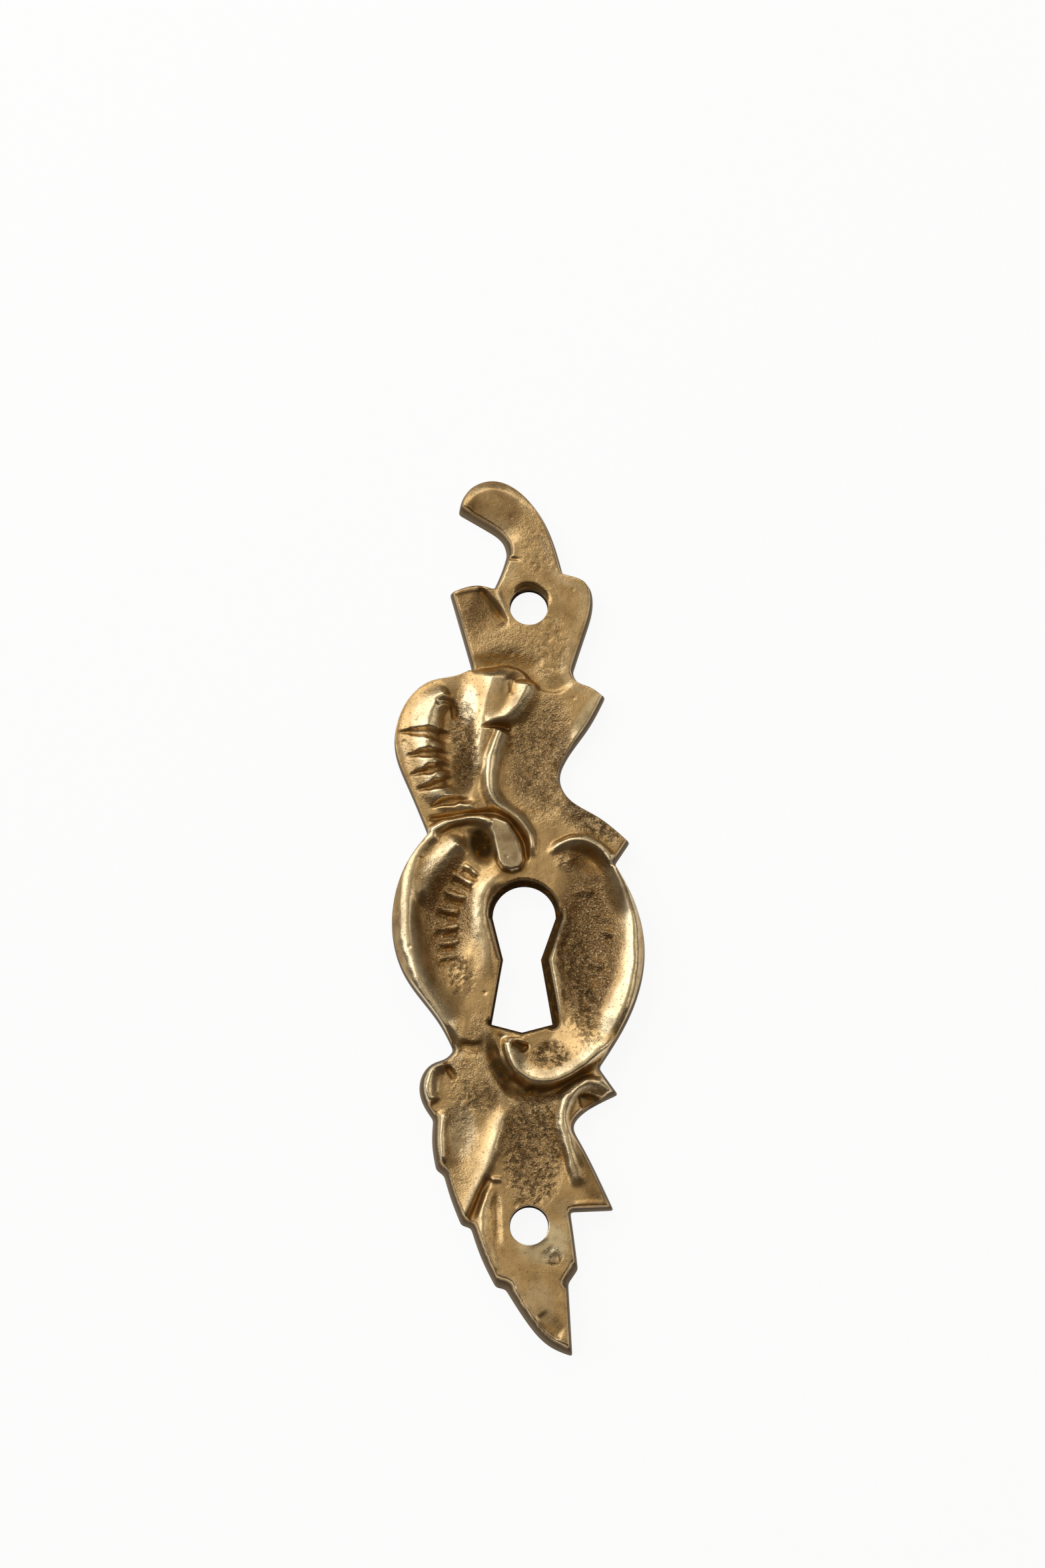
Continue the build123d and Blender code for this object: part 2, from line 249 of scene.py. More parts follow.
# Oval patch of a finish: the amount in the middle, running out to 0 over the soft share of its reach
def patch(amount, x, y, across, along, turn=0.0, soft=0.5):
    c, s = math.cos(math.radians(turn)), math.sin(math.radians(turn))
    dx = gx - x
    dy = gy - y
    u = np.hypot((dx * c + dy * s) / across, (dy * c - dx * s) / along)
    return amount * smooth((1.0 - u) / soft)


# Gaussian blur of a grid, done on its spectrum; width is the standard deviation in mm
def blur(heights, width):
    fx = np.fft.rfftfreq(heights.shape[1], carvingGrid["step"])
    fy = np.fft.fftfreq(heights.shape[0], carvingGrid["step"])
    damp = np.exp(-2.0 * (math.pi * width) ** 2 * (fx[None, :] ** 2 + fy[:, None] ** 2))
    return np.fft.irfft2(np.fft.rfft2(heights) * damp, heights.shape)


# Crest: hook, neck and the two wings round the upper screw hole
crest = dict(
    hookBevel=dict(path=[(-7.6, 47.4), (-6.7, 49.4), (-3.7, 50.8), (-0.6, 49.7), (1.8, 46.9)],
        sink=[0.2, 0.6, 0.7, 0.5, 0.2], left=0.6, right=1.2, crown=1, foot=1.3),
    hookInner=dict(path=[(-7, 47), (-4.8, 45.9), (-2.6, 44.6), (-1.7, 43)], sink=0.4, left=3, right=2.2,
        crown=1.6),
    wingStep=dict(path=[(-5.4, 38), (-4.2, 37), (-3.3, 35.6), (-2.4, 34.3), (-1.7, 33.2)],
        sink=[0.35, 0.85, 0.95, 0.7, 0.2], left=0.7, right=[1.5, 3.4, 4.2, 3.4], crown=1.2, ends=(0.1, 0.25)),
    wingCrease=dict(path=[(-3.2, 38), (-2.7, 36.6), (-2.2, 35), (-1.6, 33.6)], lift=0.16, left=0.35,
        right=0.35),
    wingTop=dict(path=[(-8.2, 37.3), (-6.6, 37.8), (-5, 38)], lift=0.2, left=0.5, right=0.5),
    neckCrack=dict(path=[(-2.2, 41.6), (-1.2, 41.55), (-0.3, 41.2)], sink=0.35, left=0.22, right=0.22,
        ends=(0.02, 0.4)),
    holeFlare=dict(path=[(-1.35, 36.9), (-0.6, 37.75), (0.55, 38.15), (1.7, 37.8), (2.45, 36.9),
        (2.75, 35.8)], sink=[0.4, 0.8, 0.9, 0.9, 0.6], left=0.5, right=0.6, crown=1, foot=1, ends=(0.2, 0.3)),
    scratches=dict(paths=[[(-2.9, 48), (-3.2, 46.8)], [(-5.75, 48.1), (-5.4, 47.5)], [(1.8, 38.8),
        (3.2, 37.7)], [(-4.4, 48.9), (-4.3, 48.3)]], sink=0.1, left=0.16, right=0.16, crown=1.2,
        ends=(0.2, 0.4)),
    neckValley=dict(path=[(-6.2, 28.6), (-4.6, 28.6), (-2.6, 29), (-1.2, 28.9), (0.2, 28.1), (1.3, 26.9),
        (2.8, 26.2), (4.4, 26.4), (5.6, 27.6)], sink=[0.25, 0.4, 0.5, 0.45, 0.35, 0.25],
        left=[1.8, 2.6, 2.4, 1.8], right=[0.6, 0.5, 0.6, 0.8], ends=(0.05, 0.15)),
)
carveAll(crest)
print("crest carved")

# Lobe: five petals between wedge flutes, channel, bulb and stem, and the plain leaf on the right
lobe = dict(
    shell=dict(path=[(-8.2, 25.6), (-9.8, 24.6), (-10.8, 22.8), (-11.1, 20.6), (-10.9, 18.6), (-10.5, 16.6),
        (-9.7, 14.7), (-8.5, 13.3), (-6.8, 12.6), (-5.2, 12.35)],
        lift=[0.9, 1.1, 1.2, 1.2, 1.1, 0.95, 0.75, 0.5], left=[1.5, 1.7, 2, 2.2, 2.2, 2, 1.4, 0.9],
        right=[1.7, 2.7, 3.2, 3.2, 3, 2.7, 2.2, 1.5, 0.8], crown=(1.8, 1.5), foot=1.5, ends=(0.06, 0.06)),
    flutes=dict(paths=[
        [(-14.2, 21.05), (-12.8, 20.95), (-10.9, 20.8), (-9.4, 20.65), (-8, 20.7)],
        [(-13.5, 18.3), (-11.8, 18.5), (-10, 18.52), (-8.2, 18.55)],
        [(-13, 16.1), (-11.2, 16.5), (-9.6, 16.85), (-8, 17.15)],
        [(-12.4, 14.5), (-10.4, 14.8), (-9, 15.2), (-7.6, 15.55)],
        [(-11.1, 12.25), (-8.6, 13), (-7, 13.15), (-5.6, 12.95)],
    ], wide=[1.15, 0.9, 1, 0.85, 0.7], sink=[0.15, 0.55, 0.8, 0.8, 0.55], left=[0.1, 0.5, 0.75, 0.75, 0.5],
        right=[0.1, 0.4, 0.65, 0.65, 0.4], crown=3.5, foot=1.3, ends=(0.02, 0.3), ragged=0.14),
    petalTear=dict(path=[(-10, 24.1), (-9.3, 24.5), (-8.5, 24.45), (-8.1, 23.6), (-8.05, 22.4)],
        sink=[0.2, 0.5, 0.55, 0.5], left=0.9, right=0.35, crown=1.6, ends=(0.1, 0.2)),
    arris=dict(path=[(-3.75, 28.8), (-3.8, 27.4), (-4.1, 25.9), (-4.55, 23.7), (-4.9, 21.8), (-5.2, 20),
        (-5.4, 18), (-5.3, 16.4), (-4.8, 14.9)], lift=[0.85, 1, 1, 0.95, 0.85, 0.7, 0.6],
        left=[2.8, 3.2, 3.1, 2.4, 1.6, 1.5, 1.4, 1.3], right=[3.4, 3.4, 3.2, 2.8, 2.2], crown=(4, 1),
        foot=(1.4, 1.5), ends=(0.11, 0.2)),
    bulb=dict(path=[(0.35, 27.2), (0.2, 26.1), (-0.35, 24.95), (-1.25, 23.75), (-2.35, 22.85), (-4.3, 22.1)],
        lift=[0.95, 1.2, 1.3, 1.3, 1.2, 1], left=[1.5, 1.9, 2, 1.6, 0.9], right=[2.2, 2.6, 2.8, 2.4, 1.8],
        crown=(1.8, 1), foot=(1.7, 1), ends=(0.1, 0.03)),
    crease=dict(path=[(-1.65, 27), (-1.55, 26.1), (-1.5, 25.1)], sink=[0.1, 0.2, 0.12], left=0.9, right=0.14,
        crown=1.3, foot=1.2, ends=(0.2, 0.3)),
    stem=dict(path=[(-2.5, 21.6), (-3.25, 20), (-3.75, 18.4), (-4, 17), (-4.1, 15.5), (-3.9, 14.2),
        (-3.2, 12.9), (-1.9, 11.9), (-0.6, 11), (0.3, 9.8), (0.85, 8.2), (1, 6.3)],
        lift=[1.15, 1.25, 1.1, 0.9, 0.7, 0.6, 0.5], left=[1.9, 1.9, 1.7, 1.4, 1, 0.7],
        right=[1.5, 1.6, 1.4, 1, 0.8, 0.6], crown=1.7, ends=(0.03, 0.1)),
    notch=dict(path=[(-4.85, 21.7), (-3.5, 21.8), (-2.3, 21.8), (-1.2, 21.4)], sink=[0.3, 0.95, 1.2, 0.8],
        left=[0.12, 0.6, 1.05, 0.9], right=[0.1, 0.22, 0.3, 0.4], ends=(0.03, 0.2)),
    foldLine=dict(path=[(1.3, 26.4), (0.9, 24.6), (-0.4, 22.4), (-0.9, 20.6)], lift=0.14, left=0.4, right=0.7,
        ends=(0.2, 0.3)),
    foot=dict(path=[(-11, 11.1), (-8, 11.25), (-5, 11.75), (-3.2, 11.85), (-1.6, 10.8), (-0.5, 9.2),
        (0.1, 7.4), (0.2, 5.9)], sink=[0.5, 0.6, 0.7, 0.7, 0.6], left=0.5, right=0.45, ends=(0.04, 0.08)),
    petalHollow=dict(centre=(-7.7, 19), reach=(2.5, 8), depth=0.75),
    plainLeafHollow=dict(centre=(1.6, 18.6), reach=(4.9, 8.6), depth=0.75),
    plainTipHollow=dict(centre=(8, 11.2), reach=(4.6, 2.2), depth=0.35),
)
carveAll(lobe)
print("lobe carved")

# Bowl: scrolled rims, tongue, hollows with a row of beads, and the raised lips of the keyhole
beadPaths = [
    [(-7, 5.9), (-6.2, 5.35), (-5.3, 4.5)],
    [(-8.2, 4.85), (-7.1, 4.2), (-5.9, 3.4)],
    [(-9.2, 2.95), (-8, 2.4), (-6.6, 2)],
    [(-10, 1.15), (-8.8, 0.75), (-7.4, 0.45)],
    [(-10.2, -1.35), (-8.9, -1.35), (-7.4, -1.2)],
    [(-9.9, -3.1), (-8.7, -3), (-7.3, -2.85)],
    [(-9.6, -4.9), (-8.7, -4.7), (-7.6, -4.5)],
]
beadHeights = [0.75, 0.95, 1.1, 1, 1.15, 0.85, 0.6]
beadGrooves = [[(x - 0.1, y - 0.75) for x, y in path] for path in beadPaths]  # just below each bead
bowl = dict(
    shoulder=dict(path=[(-6.6, 9.2), (-8.2, 7.6), (-9.8, 5.7), (-11.1, 3.8), (-12, 1.8), (-12.6, -0.2)],
        lift=[1, 1.3, 1.36, 1.3, 1.15, 0.9], left=[1.4, 2, 2.2, 2.2, 2], right=[1.5, 2.6, 2.8, 2.4, 1.8],
        crown=(1.7, 1.2), foot=(2, 1.1), ends=(0.15, 0.3)),
    leftRim=dict(path=[(-9.3, 9.9), (-11, 8.3), (-12.5, 5.6), (-13.1, 2.6), (-13.15, -0.6), (-12.9, -3.6),
        (-12.1, -6.4), (-10.7, -9.2), (-9.1, -11.7), (-7.7, -13.6), (-6.6, -14.9)],
        lift=[0.85, 0.9, 1.05, 1.3, 1.4, 1.3, 1], left=[1.8, 2.6, 2.6, 2.5, 2.9, 3.4, 3.2, 2],
        right=[1.2, 1.6, 1.9, 2, 1.9, 1.7, 1.4], crown=(1.3, 2.6), ends=(0.05, 0.12)),
    topRim=dict(path=[(-11.2, 9.3), (-9.6, 10.2), (-7.8, 10.85), (-6, 11.1), (-4.6, 10.9), (-3.4, 10.4)],
        lift=[0.9, 1, 1.05, 1.1], left=0.7, right=[1.2, 0.8, 0.8, 0.9], crown=2.6, ends=(0.1, 0.05)),
    tongue=dict(polygon=[(-4.6, 10.9), (-3.2, 11), (-1.95, 10.4), (-1.2, 9.2), (-0.75, 8.2), (-0.4, 7),
        (-0.3, 6.2), (-0.6, 5.5), (-1.4, 5.25), (-2.3, 5.45), (-2.75, 6.1), (-3.1, 7.6), (-3.4, 8.9),
        (-3.9, 10.1)], lift=1, fall=0.45),
    rightRim=dict(path=[(2.9, 6.6), (3.6, 7.6), (4.9, 8.3), (6.4, 8.5), (7.9, 8), (9.2, 6.8), (10.2, 5.2),
        (11.3, 2.6), (12, 0), (12.3, -2.6), (12.25, -5.4), (11.8, -8.2), (10.9, -11.2), (9.5, -13.8),
        (7.9, -15.7)], lift=[0.6, 1, 1.2, 1.3, 1.35, 1.4, 1.4, 1.35],
        left=[0.8, 0.9, 1, 1.2, 1.4, 1.6, 1.6, 1.4], right=[0.8, 1.3, 1.6, 2.2, 2.8, 3.6, 4.4, 5],
        crown=(2.6, 1.1), foot=(2, 1.4), ends=(0.06, 0.2)),
    scroll=dict(path=[(10.6, -11.9), (9.3, -14.2), (7.9, -15.8), (6.4, -17), (4.6, -18.1), (3.1, -18.65),
        (1.5, -18.7), (-0.1, -17.9), (-1.1, -16.7), (-1.6, -15.6), (-1.8, -14.7), (-1.95, -13.8)],
        lift=[1.3, 1.35, 1.35, 1.3, 1.25, 1.2, 1.15, 1.1], left=[1.2, 1, 0.85, 0.75, 0.75, 0.85, 0.9, 0.9],
        right=[4.8, 5, 5, 4.4, 3.6, 3, 2.6, 2.2], crown=(4.5, 1), foot=(1.2, 1), ends=(0.25, 0.05)),
    scrollBevel=dict(path=[(-2.8, -13.5), (-2.55, -14.9), (-2.4, -15.8), (-1.95, -17), (-1.2, -18.1)],
        sink=[0.25, 0.32, 0.32, 0.2], left=0.75, right=0.4, crown=1, foot=1, ends=(0.1, 0.25)),
    leftLip=dict(path=[(-1.6, 4.9), (-3.4, 4.2), (-4.6, 2.6), (-5, 0.6), (-4.9, -1.4), (-4.4, -3.2),
        (-4.2, -5), (-4.4, -7), (-4.5, -8.5)], lift=[0.25, 0.5, 0.65, 0.7, 0.65, 0.5, 0.4, 0.2], left=1.3,
        right=[1.2, 1.8, 2.4, 2.6, 2.4, 2, 1.6, 1], crown=(3, 1.6), ends=(0.15, 0.25)),
    rightLip=dict(path=[(4.2, 1.6), (4.4, -0.5), (3.8, -2.6), (3.4, -4.5), (3.6, -7), (3.8, -10),
        (3.7, -12.8)], lift=0.35, left=1, right=0.9, crown=2.5),
    scrollEnd=dict(path=[(0.4, -15.6), (0.5, -17.2), (0.85, -18.8)], lift=0.3, left=1.4, right=0.3, crown=1.2,
        ends=(0.3, 0.1)),
    castingPit=dict(path=[(-1, -14.8), (-0.1, -15.1)], sink=0.95, left=0.55, right=0.5, crown=3, ends=(0, 0),
        ragged=0.16),
    rimEnd=dict(path=[(-7.4, -14.5), (-6, -14.75), (-4.5, -14.6)], sink=0.55, left=0.5, right=1.6,
        ends=(0.2, 0.2)),
    undercut=dict(path=[(-4, -13.6), (-3.5, -15.4), (-2.7, -17.3), (-1.5, -18.8), (0.3, -19.9), (2.2, -20.1),
        (4.2, -19.6), (6.2, -18.6), (8.4, -17.2)], sink=[0.4, 0.8, 1.2, 1.35, 1.2, 0.9, 0.6, 0.4],
        left=[0.6, 0.8, 0.7, 0.6, 0.5], right=[0.8, 1.4, 2, 1.5, 1, 0.7], ends=(0.12, 0.12), ragged=0.1),
    pocket=dict(path=[(-5.4, 10.2), (-5.2, 8.6), (-4.4, 7), (-3.4, 5.6)], sink=[0.4, 0.8, 0.8, 0.4],
        left=[1, 1.3, 1], right=[1.4, 2, 1.6], ends=(0.15, 0.25)),
    leftHollow=dict(centre=(-9.2, 0.2), reach=(3.7, 9), depth=1.2),
    rightHollow=dict(centre=(7.2, -2), reach=(4.4, 11), depth=0.95),
    rimHollow=dict(centre=(7.2, 6), reach=(2.6, 2.4), depth=0.9),
    beads=dict(paths=beadPaths, tall=beadHeights, lift=[0.35, 0.5, 0.42], left=0.4, right=0.4, crown=2.6,
        ends=(0.06, 0.06), ragged=0.13),
    beadGrooves=dict(paths=beadGrooves, tall=beadHeights, sink=0.3, left=0.35, right=0.35, ends=(0.1, 0.1),
        ragged=0.13),
    ledges=dict(paths=[[(7.6, 0.5), (8.6, 0.1), (9.9, -0.2)], [(8.4, -1.7), (9.4, -1.9), (10.6, -2.4)],
        [(7.2, -5.1), (8.2, -5.4), (9.4, -5.9)], [(5.4, 2.4), (6.6, 2.9), (7.8, 2.4)], [(4.4, 6), (5, 6.5),
        (5.8, 6.7)], [(10, -2.9), (11, -3.1), (11.9, -3.3)], [(5.2, -7.6), (6.4, -8), (7.4, -8.8)],
        [(6, -11.2), (7, -11.8), (8.2, -12.6)]], lift=[0.25, 0.4, 0.25], left=0.35, right=0.9, crown=1.4,
        ends=(0.2, 0.2), ragged=0.2),
)
carveAll(bowl)
print("bowl carved")

# Lower leaf: curls, ribs and the toothed tip
leaf = dict(
    leftCurl=dict(path=[(-8.5, -17), (-9.8, -17.3), (-10.6, -18.6), (-10.8, -20.2), (-10.2, -21.6)],
        lift=[0.7, 0.95, 0.95, 0.8], left=1.3, right=1.3, crown=1.7, ends=(0.1, 0.12)),
    curlNick=dict(path=[(-8.4, -17.5), (-7.9, -18.3)], sink=0.5, left=0.5, right=0.6, ends=(0, 0)),
    leftEdge=dict(path=[(-9, -22.2), (-9.2, -25), (-9.1, -28.3)], lift=0.5, left=1, right=1, crown=1.5),
    mainRib=dict(path=[(-1.9, -21.4), (-2.4, -23.5), (-3.1, -25.8), (-3.9, -28.2), (-4.7, -30), (-5.6, -31.8),
        (-6.5, -33.6), (-7, -34.6)], lift=[0.2, 0.5, 0.58, 0.58, 0.5, 0.4, 0.3],
        left=[0.9, 1.1, 1.1, 0.9, 0.5, 0.4], right=[1.6, 2.4, 2.9, 3, 2.6, 1.6], crown=1.4,
        ends=(0.12, 0.04)),
    ribStep=dict(path=[(-4, -29.4), (-4.6, -31), (-5.3, -32.6), (-6, -34.2), (-6.4, -35.2)],
        sink=[0.3, 0.5, 0.5, 0.4], left=0.9, right=0.35, ends=(0.1, 0.03)),
    ribFacet=dict(path=[(-3.7, -29.9), (-2.4, -30)], lift=0.3, left=0.5, right=0.6, crown=1.4),
    secondEdge=dict(path=[(-3.7, -30.6), (-4.4, -32.6), (-4.7, -35), (-4.2, -38), (-3.5, -40.4)],
        lift=[0.2, 0.35, 0.35, 0.3, 0.2], left=1.1, right=0.9, crown=1.5, ends=(0.12, 0.05)),
    secondGroove=dict(path=[(-3.1, -30.9), (-3.2, -33.5), (-3.1, -36), (-2.9, -37.9)], sink=0.32, left=0.7,
        right=0.7, ends=(0.3, 0.35)),
    rightCurl=dict(path=[(10, -20.5), (9, -19.65), (7.7, -19.15), (6.4, -19.35), (5.2, -20.4), (4.5, -21.9),
        (4.3, -23.4), (4.7, -25.5), (5.3, -27.8), (5.8, -29.6), (6.3, -31.2)],
        lift=[0.5, 0.85, 0.95, 0.95, 0.9, 0.8, 0.75, 0.55, 0.3], left=[0.8, 1, 1, 1, 1, 1.2, 1.4, 1.2],
        right=[0.8, 1, 1.2, 1.2, 1.2, 1, 0.9, 0.8], crown=2.4, ends=(0.04, 0.1)),
    curlPocket=dict(polygon=[(6.3, -20.65), (7.1, -20.55), (8.5, -20.95), (8.8, -21.3), (7.5, -22.1),
        (6.8, -22.3), (6.5, -21.5)], sink=0.95, fall=0.3),
    wingEdge=dict(path=[(7.4, -27.4), (8.4, -29.8), (9.4, -32.6)], lift=0.2, left=0.6, right=0.5),
    wingFoot=dict(path=[(5.6, -32.7), (9.2, -32.6)], lift=0.15, left=0.4, right=0.4),
    tipEdge=dict(path=[(-0.9, -43.6), (0.6, -45.6), (2.6, -47.6), (4.6, -48.6)], lift=0.3, left=0.9,
        right=0.8, ends=(0.2, 0.1)),
    tipHollow=dict(path=[(1.6, -45), (3, -46.6), (4.2, -47.6)], sink=0.2, left=1.4, right=1.2),
    middleHollow=dict(centre=(0.8, -26.2), reach=(4.4, 7.6), depth=0.55),
    leftHollow=dict(centre=(-7.2, -25.6), reach=(2.2, 4.2), depth=0.45),
)
carveAll(leaf)
print("leaf carved")

# Sand-cast skin, patina, painted shade and painted highlight by oval patches: amount, x and y of the middle,
# reach across and along in mm
# and, where needed, turn in degrees and the soft share of the reach
finishZones = {
    "sand": [  # casting grain that was left
        (1, -8.8, 0.5, 3.4, 9.5), (1, 7.3, -3.5, 4.6, 12), (0.9, 2, 18.5, 5.6, 9.5),
        (1, 7.2, 11.4, 6, 3, -35), (1, -6.9, 19.5, 1.9, 8), (0.35, -11, 19, 3, 8), (0.5, -1.5, 31.2, 5, 3.6),
        (0.4, -5, 34.5, 3.2, 4.5), (0.7, -5.8, 0.3, 1.7, 3.6), (0.6, -5.6, -19.2, 4.2, 5),
        (0.9, 0.8, -25.5, 4.6, 8.5), (0.7, -5, -14, 2.2, 3.4), (0.7, 3, -16.2, 3, 2.2),
        (0.9, 5, -20.3, 4.5, 1.4, 22), (1, 5.2, 6.2, 2.2, 1.6), (0.5, -9.8, 6, 2, 4.4, -40),
        (0.5, -7, -27, 2.6, 5.5), (0.3, 1.5, 44, 3, 6, 15),
    ],
    "pitted": [  # eaten by pits
        (0.8, 0.9, -26.8, 3.9, 8.4, 0, 0.35), (0.6, 6.1, -7.6, 2.9, 9.4, 10, 0.5), (0.9, 3, -15.9, 2.6, 2),
        (1, 3.2, -38.6, 1.3, 1.3), (0.55, -7.4, -22.8, 2.2, 2.6), (0.7, -5.2, -20.6, 3.2, 2.6),
        (0.6, -6.8, 19, 2.2, 6.5), (0.4, 3, 31, 2.6, 5), (0.3, 1.5, 42.5, 2.4, 4.5), (0.45, 2.5, 17, 5, 8),
        (0.9, 8, 11.2, 5, 2.4, -35), (0.7, -7.2, -7, 2, 3.2),
    ],
    "brown": [  # brown oxide, and painted shade on the bulb's lit flank and round the upper screw hole's rim
        (0.7, -5.2, 35.2, 3.6, 4), (0.75, -3.6, 47.4, 4.6, 3, -25), (0.6, -2.2, 27.8, 2.6, 0.9, -4),
        (0.7, 9.2, 3.2, 3, 4.6, 15), (0.9, 7, -3.5, 4.4, 10.5, 5, 0.4), (0.25, 1.4, -26, 4.6, 6),
        (0.25, 2, 18.6, 4.4, 7.6, 0, 0.4), (0.3, 3, 43, 2, 4, 20), (0.7, 7.6, -29.6, 2.2, 4.2, 25),
        (0.6, -8, -27.4, 1.2, 1.8), (0.45, -7.6, -22.4, 1.5, 1.6), (0.18, 4.6, 34.4, 2.8, 5.2),
        (0.2, 1.6, 43, 2.6, 4.6, 20), (0.65, -2.2, 8, 1.6, 3.2, 20, 0.3), (0.4, 13, -4, 0.9, 8.5, 0, 0.4),
        (0.35, -14.2, -0.6, 0.9, 8, 0, 0.4), (0.5, -6.8, 17.5, 2, 4), (0.6, 3.2, -46.3, 1.8, 1.8),
        (0.55, -10.6, 1, 2, 7), (0.6, 7.5, -21.3, 1.5, 0.9, -20), (0.6, 4, -17.4, 3.4, 1.1, 15),
        (0.6, -0.3, 25.2, 0.9, 2.6, -30), (0.8, 1.2, 37.9, 2.2, 0.7, -18),
    ],
    "ochre": [  # ochre lacquer residue
        (1, -2.2, 29.4, 4.6, 1.3, -4), (0.7, -4.6, 8, 1.8, 2.6), (0.9, 7, 6.4, 2.4, 1.6),
        (0.7, 3.2, -38.6, 1.4, 1.3), (0.7, -3.6, -14.6, 0.9, 2.2), (0.6, 0.5, -19.8, 5, 1),
        (0.6, 6, -19.2, 3.4, 0.9, 25), (0.8, -3.3, -13.6, 0.8, 1.6, 10), (0.7, 7.3, -21, 1.5, 0.9),
        (0.6, -10.2, 17.2, 2.6, 4.6), (0.6, -3.6, 11.8, 6.5, 0.7, 2), (0.5, 7.6, -32.6, 2.4, 0.9),
        (0.35, -8.3, 1.5, 1.8, 5), (0.9, 1.5, -37, 1.8, 0.6, 30),
    ],
    "polish": [  # rubbed smooth, without grain
        (1, -2.4, 25.8, 2.6, 3, 40, 0.3), (1, -2.2, 8, 1.5, 3.4, 20, 0.3), (0.6, -4.5, 47.8, 3.6, 2.6, -25),
        (0.9, 7.2, 22.8, 1.4, 5, -32), (0.9, 10.4, -10, 1.7, 7, -28), (0.9, 4.5, -17.4, 4.6, 1.3, 18),
        (0.9, -13.9, -1, 0.9, 8.5), (0.8, -11.4, -8.2, 1.1, 5.5, 32), (0.9, -4.3, -27, 1.3, 6.5, -18),
        (0.85, 1.6, -37, 4.6, 4.2), (0.6, 2.2, -43.5, 2.4, 4), (0.8, 12.7, -4, 0.9, 9),
        (0.8, -4.4, 18.4, 1, 4), (0.4, 4.6, 34.6, 2.6, 4.6), (1, 4.9, -25.5, 1.1, 6, 10, 0.3),
    ],
    "dark": [  # dirt in the pits, and painted shade in the undercuts, pockets, notch, curl, round the screw holes and on slopes turned from the lamps
        (1, -4.9, 8.2, 1.9, 2.6, 15), (0.6, -3.4, 36, 0.8, 2, 35), (0.5, -2.6, 22.2, 1.6, 0.6),
        (0.8, -2.6, -17.6, 1.1, 2.6, 35), (0.6, 0.8, -19.9, 3.4, 0.8, 5), (0.6, 5.6, -18.6, 2.8, 0.35, 27),
        (0.8, 7.5, -20.75, 1.5, 0.4, -14), (0.35, 7.7, -21.3, 1.2, 0.7, -20), (0.55, -12.1, -3, 0.9, 5, 5),
        (0.4, 7.2, 4.8, 2, 1.5, -20), (0.5, 10.4, 2.4, 1.4, 3.6, 20), (0.5, 2.3, -15, 1.1, 0.8),
        (0.5, -4.4, -14.6, 1.2, 1.8), (0.55, -7, 16.4, 1.7, 3.6), (0.35, -8, -10.2, 1.2, 3.2, -35),
        (0.7, -0.55, -14.95, 0.8, 0.6), (0.55, 3.2, -38.6, 1.1, 1, 0, 0.8), (0.6, 1.4, 37.75, 1.5, 0.45, -25),
        (0.6, 1.7, -37.1, 1.5, 0.28, 28),
    ],
    "burnishAndHighlight": [  # rubbed bright, and painted highlight on the lit slopes of the petals, channel, bowl and leaf
        (1, 10.6, -10.2, 1.3, 6.4, -27), (0.9, -2.1, -15.2, 0.6, 2.2, 8), (1, -6.3, 24.2, 1.3, 3, -4),
        (0.7, -11.5, 22.8, 1.7, 3, -15), (0.8, -9.8, 6.2, 1.3, 3.6, -40), (1, 2.2, -37, 3.8, 3),
        (0.55, -7.1, -24.6, 2.1, 4), (0.9, 7.4, 23, 1.3, 4.6, -32), (0.25, -1.4, 24.2, 0.6, 2.6, -40),
        (0.5, 5.9, 16.2, 1, 2.6), (0.4, 1.6, -44, 2.2, 3.4), (0.7, -10.4, -19.4, 1.2, 2.2),
    ],
}
zone = {name: np.max([patch(*row) for row in rows], axis=0) for name, rows in finishZones.items()}
ageing = {
    "leastSand": 0.12,  # grain on plain ground
    "polishOnSand": 0.9,  # share of the grain that polish takes off
    "wearAndHighlightOnSand": 0.75,
    "wearAndHighlightOnOchre": 0.8,
    "cavityBlur": 0.55,  # mm, hollows of about this width hold ochre
    "cavityDepth": 0.3,
    "ridgeBlur": 1.3,  # mm, ridges of about this width are rubbed bright
    "ridgeStart": 0.05,
    "ridgeSpan": 0.45,
    "browningBlur": 1.6,  # mm, wide hollows go brown
    "browningDepth": 0.9,
    "browning": 0.55,
}
sand = np.maximum(zone["sand"], ageing["leastSand"]) * (1.0 - ageing["polishOnSand"] * zone["polish"])
height = carvingGrid["land"] + raised ** (1 / joinPower) - sunk ** (1 / joinPower)
height = np.maximum(height - scooped ** (1 / hollowPower), carvingGrid["lowest"])

# Pinholes: small round pits, some placed where the metal shows them and more strewn by a seeded draw
pinholes = {
    "placed": [  # x, y and radius in mm
        (-13.7, 20, 0.24), (-2, 6.6, 0.18), (-1.5, 46.3, 0.16), (1, 46.3, 0.12), (2.2, 43.7, 0.14),
        (3, 40.9, 0.2), (1, 40.7, 0.2), (3.6, 40.3, 0.14), (-11.5, 8.5, 0.2), (-12.3, 7, 0.14),
        (5.6, 37.8, 0.16), (8.1, -14.9, 0.16), (5.7, 25.1, 0.2), (-6.5, 35, 0.14), (3.9, -42.8, 0.14),
        (-1.5, 20.5, 0.3), (-1.4, 19.6, 0.24), (-1.3, 18.8, 0.28),
    ],
    "strewn": 160,
    "acrossX": (-14.0, 13.0),  # mm, where they are strewn
    "alongY": (-48.0, 50.0),
    "chance": (0.05, 0.95),  # of keeping one: on plain ground, and what full grain or pits add
    "radius": (0.12, 0.26),  # mm
    "depth": 0.75,  # of the radius
    "seed": 11,
}
draw = np.random.default_rng(pinholes["seed"])
spans = [pinholes[key] for key in ("acrossX", "alongY", "radius")]
